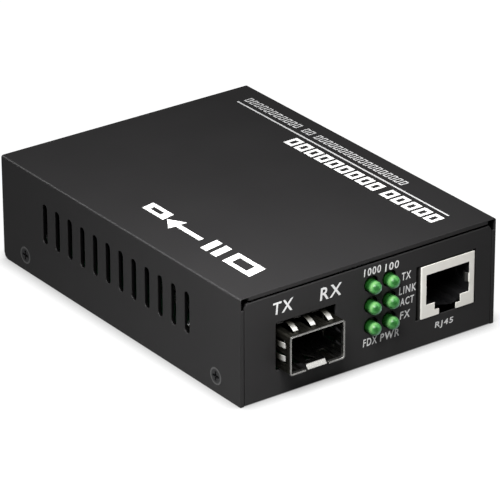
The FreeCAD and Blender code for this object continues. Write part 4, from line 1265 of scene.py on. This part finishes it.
@dataclass
class BoardAssembly(Assembly):
    """Circuit board, its fixings and the parts on it."""

    # standoffs and board screws toned far darker than their plating: painted shade inside the case
    zinc_in_shade: CanMetal = CanMetal(slot=Slot.ZINC_STEEL, colour=(0.20, 0.20, 0.20))
    can: CanMetal = CanMetal()
    long_leads: float = 0.98 * MM
    regulator_leads: float = 1.55 * MM

    def build(self) -> None:
        """Dress every node."""
        paint(self.nodes["circuit_board"], BoardLaminate())
        for node in ("board_standoffs", "board_screws"):
            paint(self.nodes[node], self.zinc_in_shade)
        for node in ("crystal_can", "input_capacitor", "output_capacitor"):
            paint(self.nodes[node], self.can)
        paint(self.nodes["power_inductor"], Ferrite())
        for node in ("converter_chip", "network_transformer", "memory_chip"):
            paint(self.nodes[node], ChipPackage(node, self.long_leads))
        paint(self.nodes["voltage_regulator"], ChipPackage("voltage_regulator", self.regulator_leads))


# ---- studio

@dataclass(frozen=True)
class SoftBox:
    """A square area light that faces the origin: its place, its size in metres and its power in watts."""

    name: str
    place: Point
    size: float
    power: float


@dataclass
class Studio:
    """White sweep, soft boxes and the camera."""

    lens: float = 277.46
    sensor: float = 36.0
    nearest: float = 0.01
    azimuth: float = -35.836
    elevation: float = 25.324
    roll: float = -0.195
    across: float = 1.259 * MM
    up: float = 8.986 * MM
    distance: float = 881.033 * MM
    floor_size: float = 3.0
    floor_seen: Colour = (0.06, 0.06, 0.06)
    floor_mirrored: Colour = (0.20, 0.20, 0.20)
    floor_glow: float = 1.0
    contact: float = 5.0 * MM
    sky: float = 0.04
    boxes: tuple[SoftBox, ...] = (
        SoftBox("key", (-0.064, -0.083, 0.120), 0.08, 0.57),
        SoftBox("front_right", (0.60, -0.50, 0.85), 0.75, 3.9),
        SoftBox("back_left", (-0.43, 0.73, 0.53), 0.3, 4.6))

    def build(self) -> None:
        """Set up the view, the light and the floor."""
        scene = bpy.context.scene
        scene.view_settings.view_transform = "Standard"
        self.camera()
        self.world()
        self.floor()
        for box in self.boxes:
            self.light(box)

    def camera(self) -> None:
        """Camera on the given bearing, with its target a little off the origin."""
        data = bpy.data.cameras.new("camera")
        data.lens = self.lens
        data.sensor_width = self.sensor
        data.clip_start = self.nearest
        camera = bpy.data.objects.new("camera", data)
        turns = ((self.azimuth, "Z"), (90.0 - self.elevation, "X"), (self.roll, "Z"))
        bearing, tilt, roll = (Matrix.Rotation(math.radians(angle), 4, axis) for angle, axis in turns)
        place = Matrix.Translation((self.across, self.up, self.distance))
        camera.matrix_world = bearing @ tilt @ roll @ place
        bpy.context.scene.collection.objects.link(camera)
        bpy.context.scene.camera = camera

    def world(self) -> None:
        """White where the camera sees it, and faint as light and in reflections."""
        world = bpy.data.worlds.new("studio")
        bpy.context.scene.world = world
        world.use_nodes = True
        graph = Graph(world.node_tree)
        seen = graph.add("ShaderNodeLightPath", {}, {}, "Is Camera Ray")
        strength = self.sky + (1.0 - self.sky) * seen
        light = graph.add("ShaderNodeBackground", {}, {"Color": (1.0, 1.0, 1.0, 1.0), "Strength": strength})
        graph.surface(light, "ShaderNodeOutputWorld")

    def floor(self) -> None:
        """Floor that the camera sees as white, with a narrow shadow round the object, and grey in reflections."""
        sheet = bmesh.new()
        bmesh.ops.create_grid(sheet, x_segments=1, y_segments=1, size=self.floor_size / 2)
        floor = object_from(mesh_from(sheet, "floor"), "floor")
        material = bpy.data.materials.new("floor_paper")
        material.use_nodes = True
        graph = Graph(material.node_tree)
        seen = graph.add("ShaderNodeLightPath", {}, {}, "Is Camera Ray")
        tone = graph.mix(seen, self.floor_mirrored, self.floor_seen)
        diffuse = graph.add("ShaderNodeBsdfDiffuse", {}, {"Color": tone})
        nearness = graph.add("ShaderNodeAmbientOcclusion", {"samples": 8}, {"Distance": self.contact}, "Color")
        glow = graph.add("ShaderNodeEmission", {}, {"Color": nearness, "Strength": self.floor_glow * seen})
        graph.surface(graph.add("ShaderNodeAddShader", {}, {0: diffuse, 1: glow}))
        floor.data.materials.append(material)

    def light(self, box: SoftBox) -> None:
        """Set up one soft box."""
        data = bpy.data.lights.new(box.name, "AREA")
        data.shape = "SQUARE"
        data.size = box.size
        data.energy = box.power
        light = bpy.data.objects.new(box.name, data)
        light.location = box.place
        light.rotation_euler = (-Vector(box.place)).to_track_quat("-Z", "Y").to_euler()
        bpy.context.scene.collection.objects.link(light)


def main() -> None:
    """Build the studio and the converter."""
    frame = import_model()
    nodes = frame["nodes"]
    grid = GridTree()
    Studio().build()
    for assembly in (Case(nodes, grid), PanelPrint(grid), FibrePort(nodes), NetworkJack(nodes),
                     LampCluster(nodes), PowerInlet(nodes), BoardAssembly(nodes)):
        LOG.info("building %s", type(assembly).__name__)
        assembly.build()


if __name__ == "__main__":
    logging.basicConfig(level=logging.INFO, format="%(name)s: %(message)s")
    main()
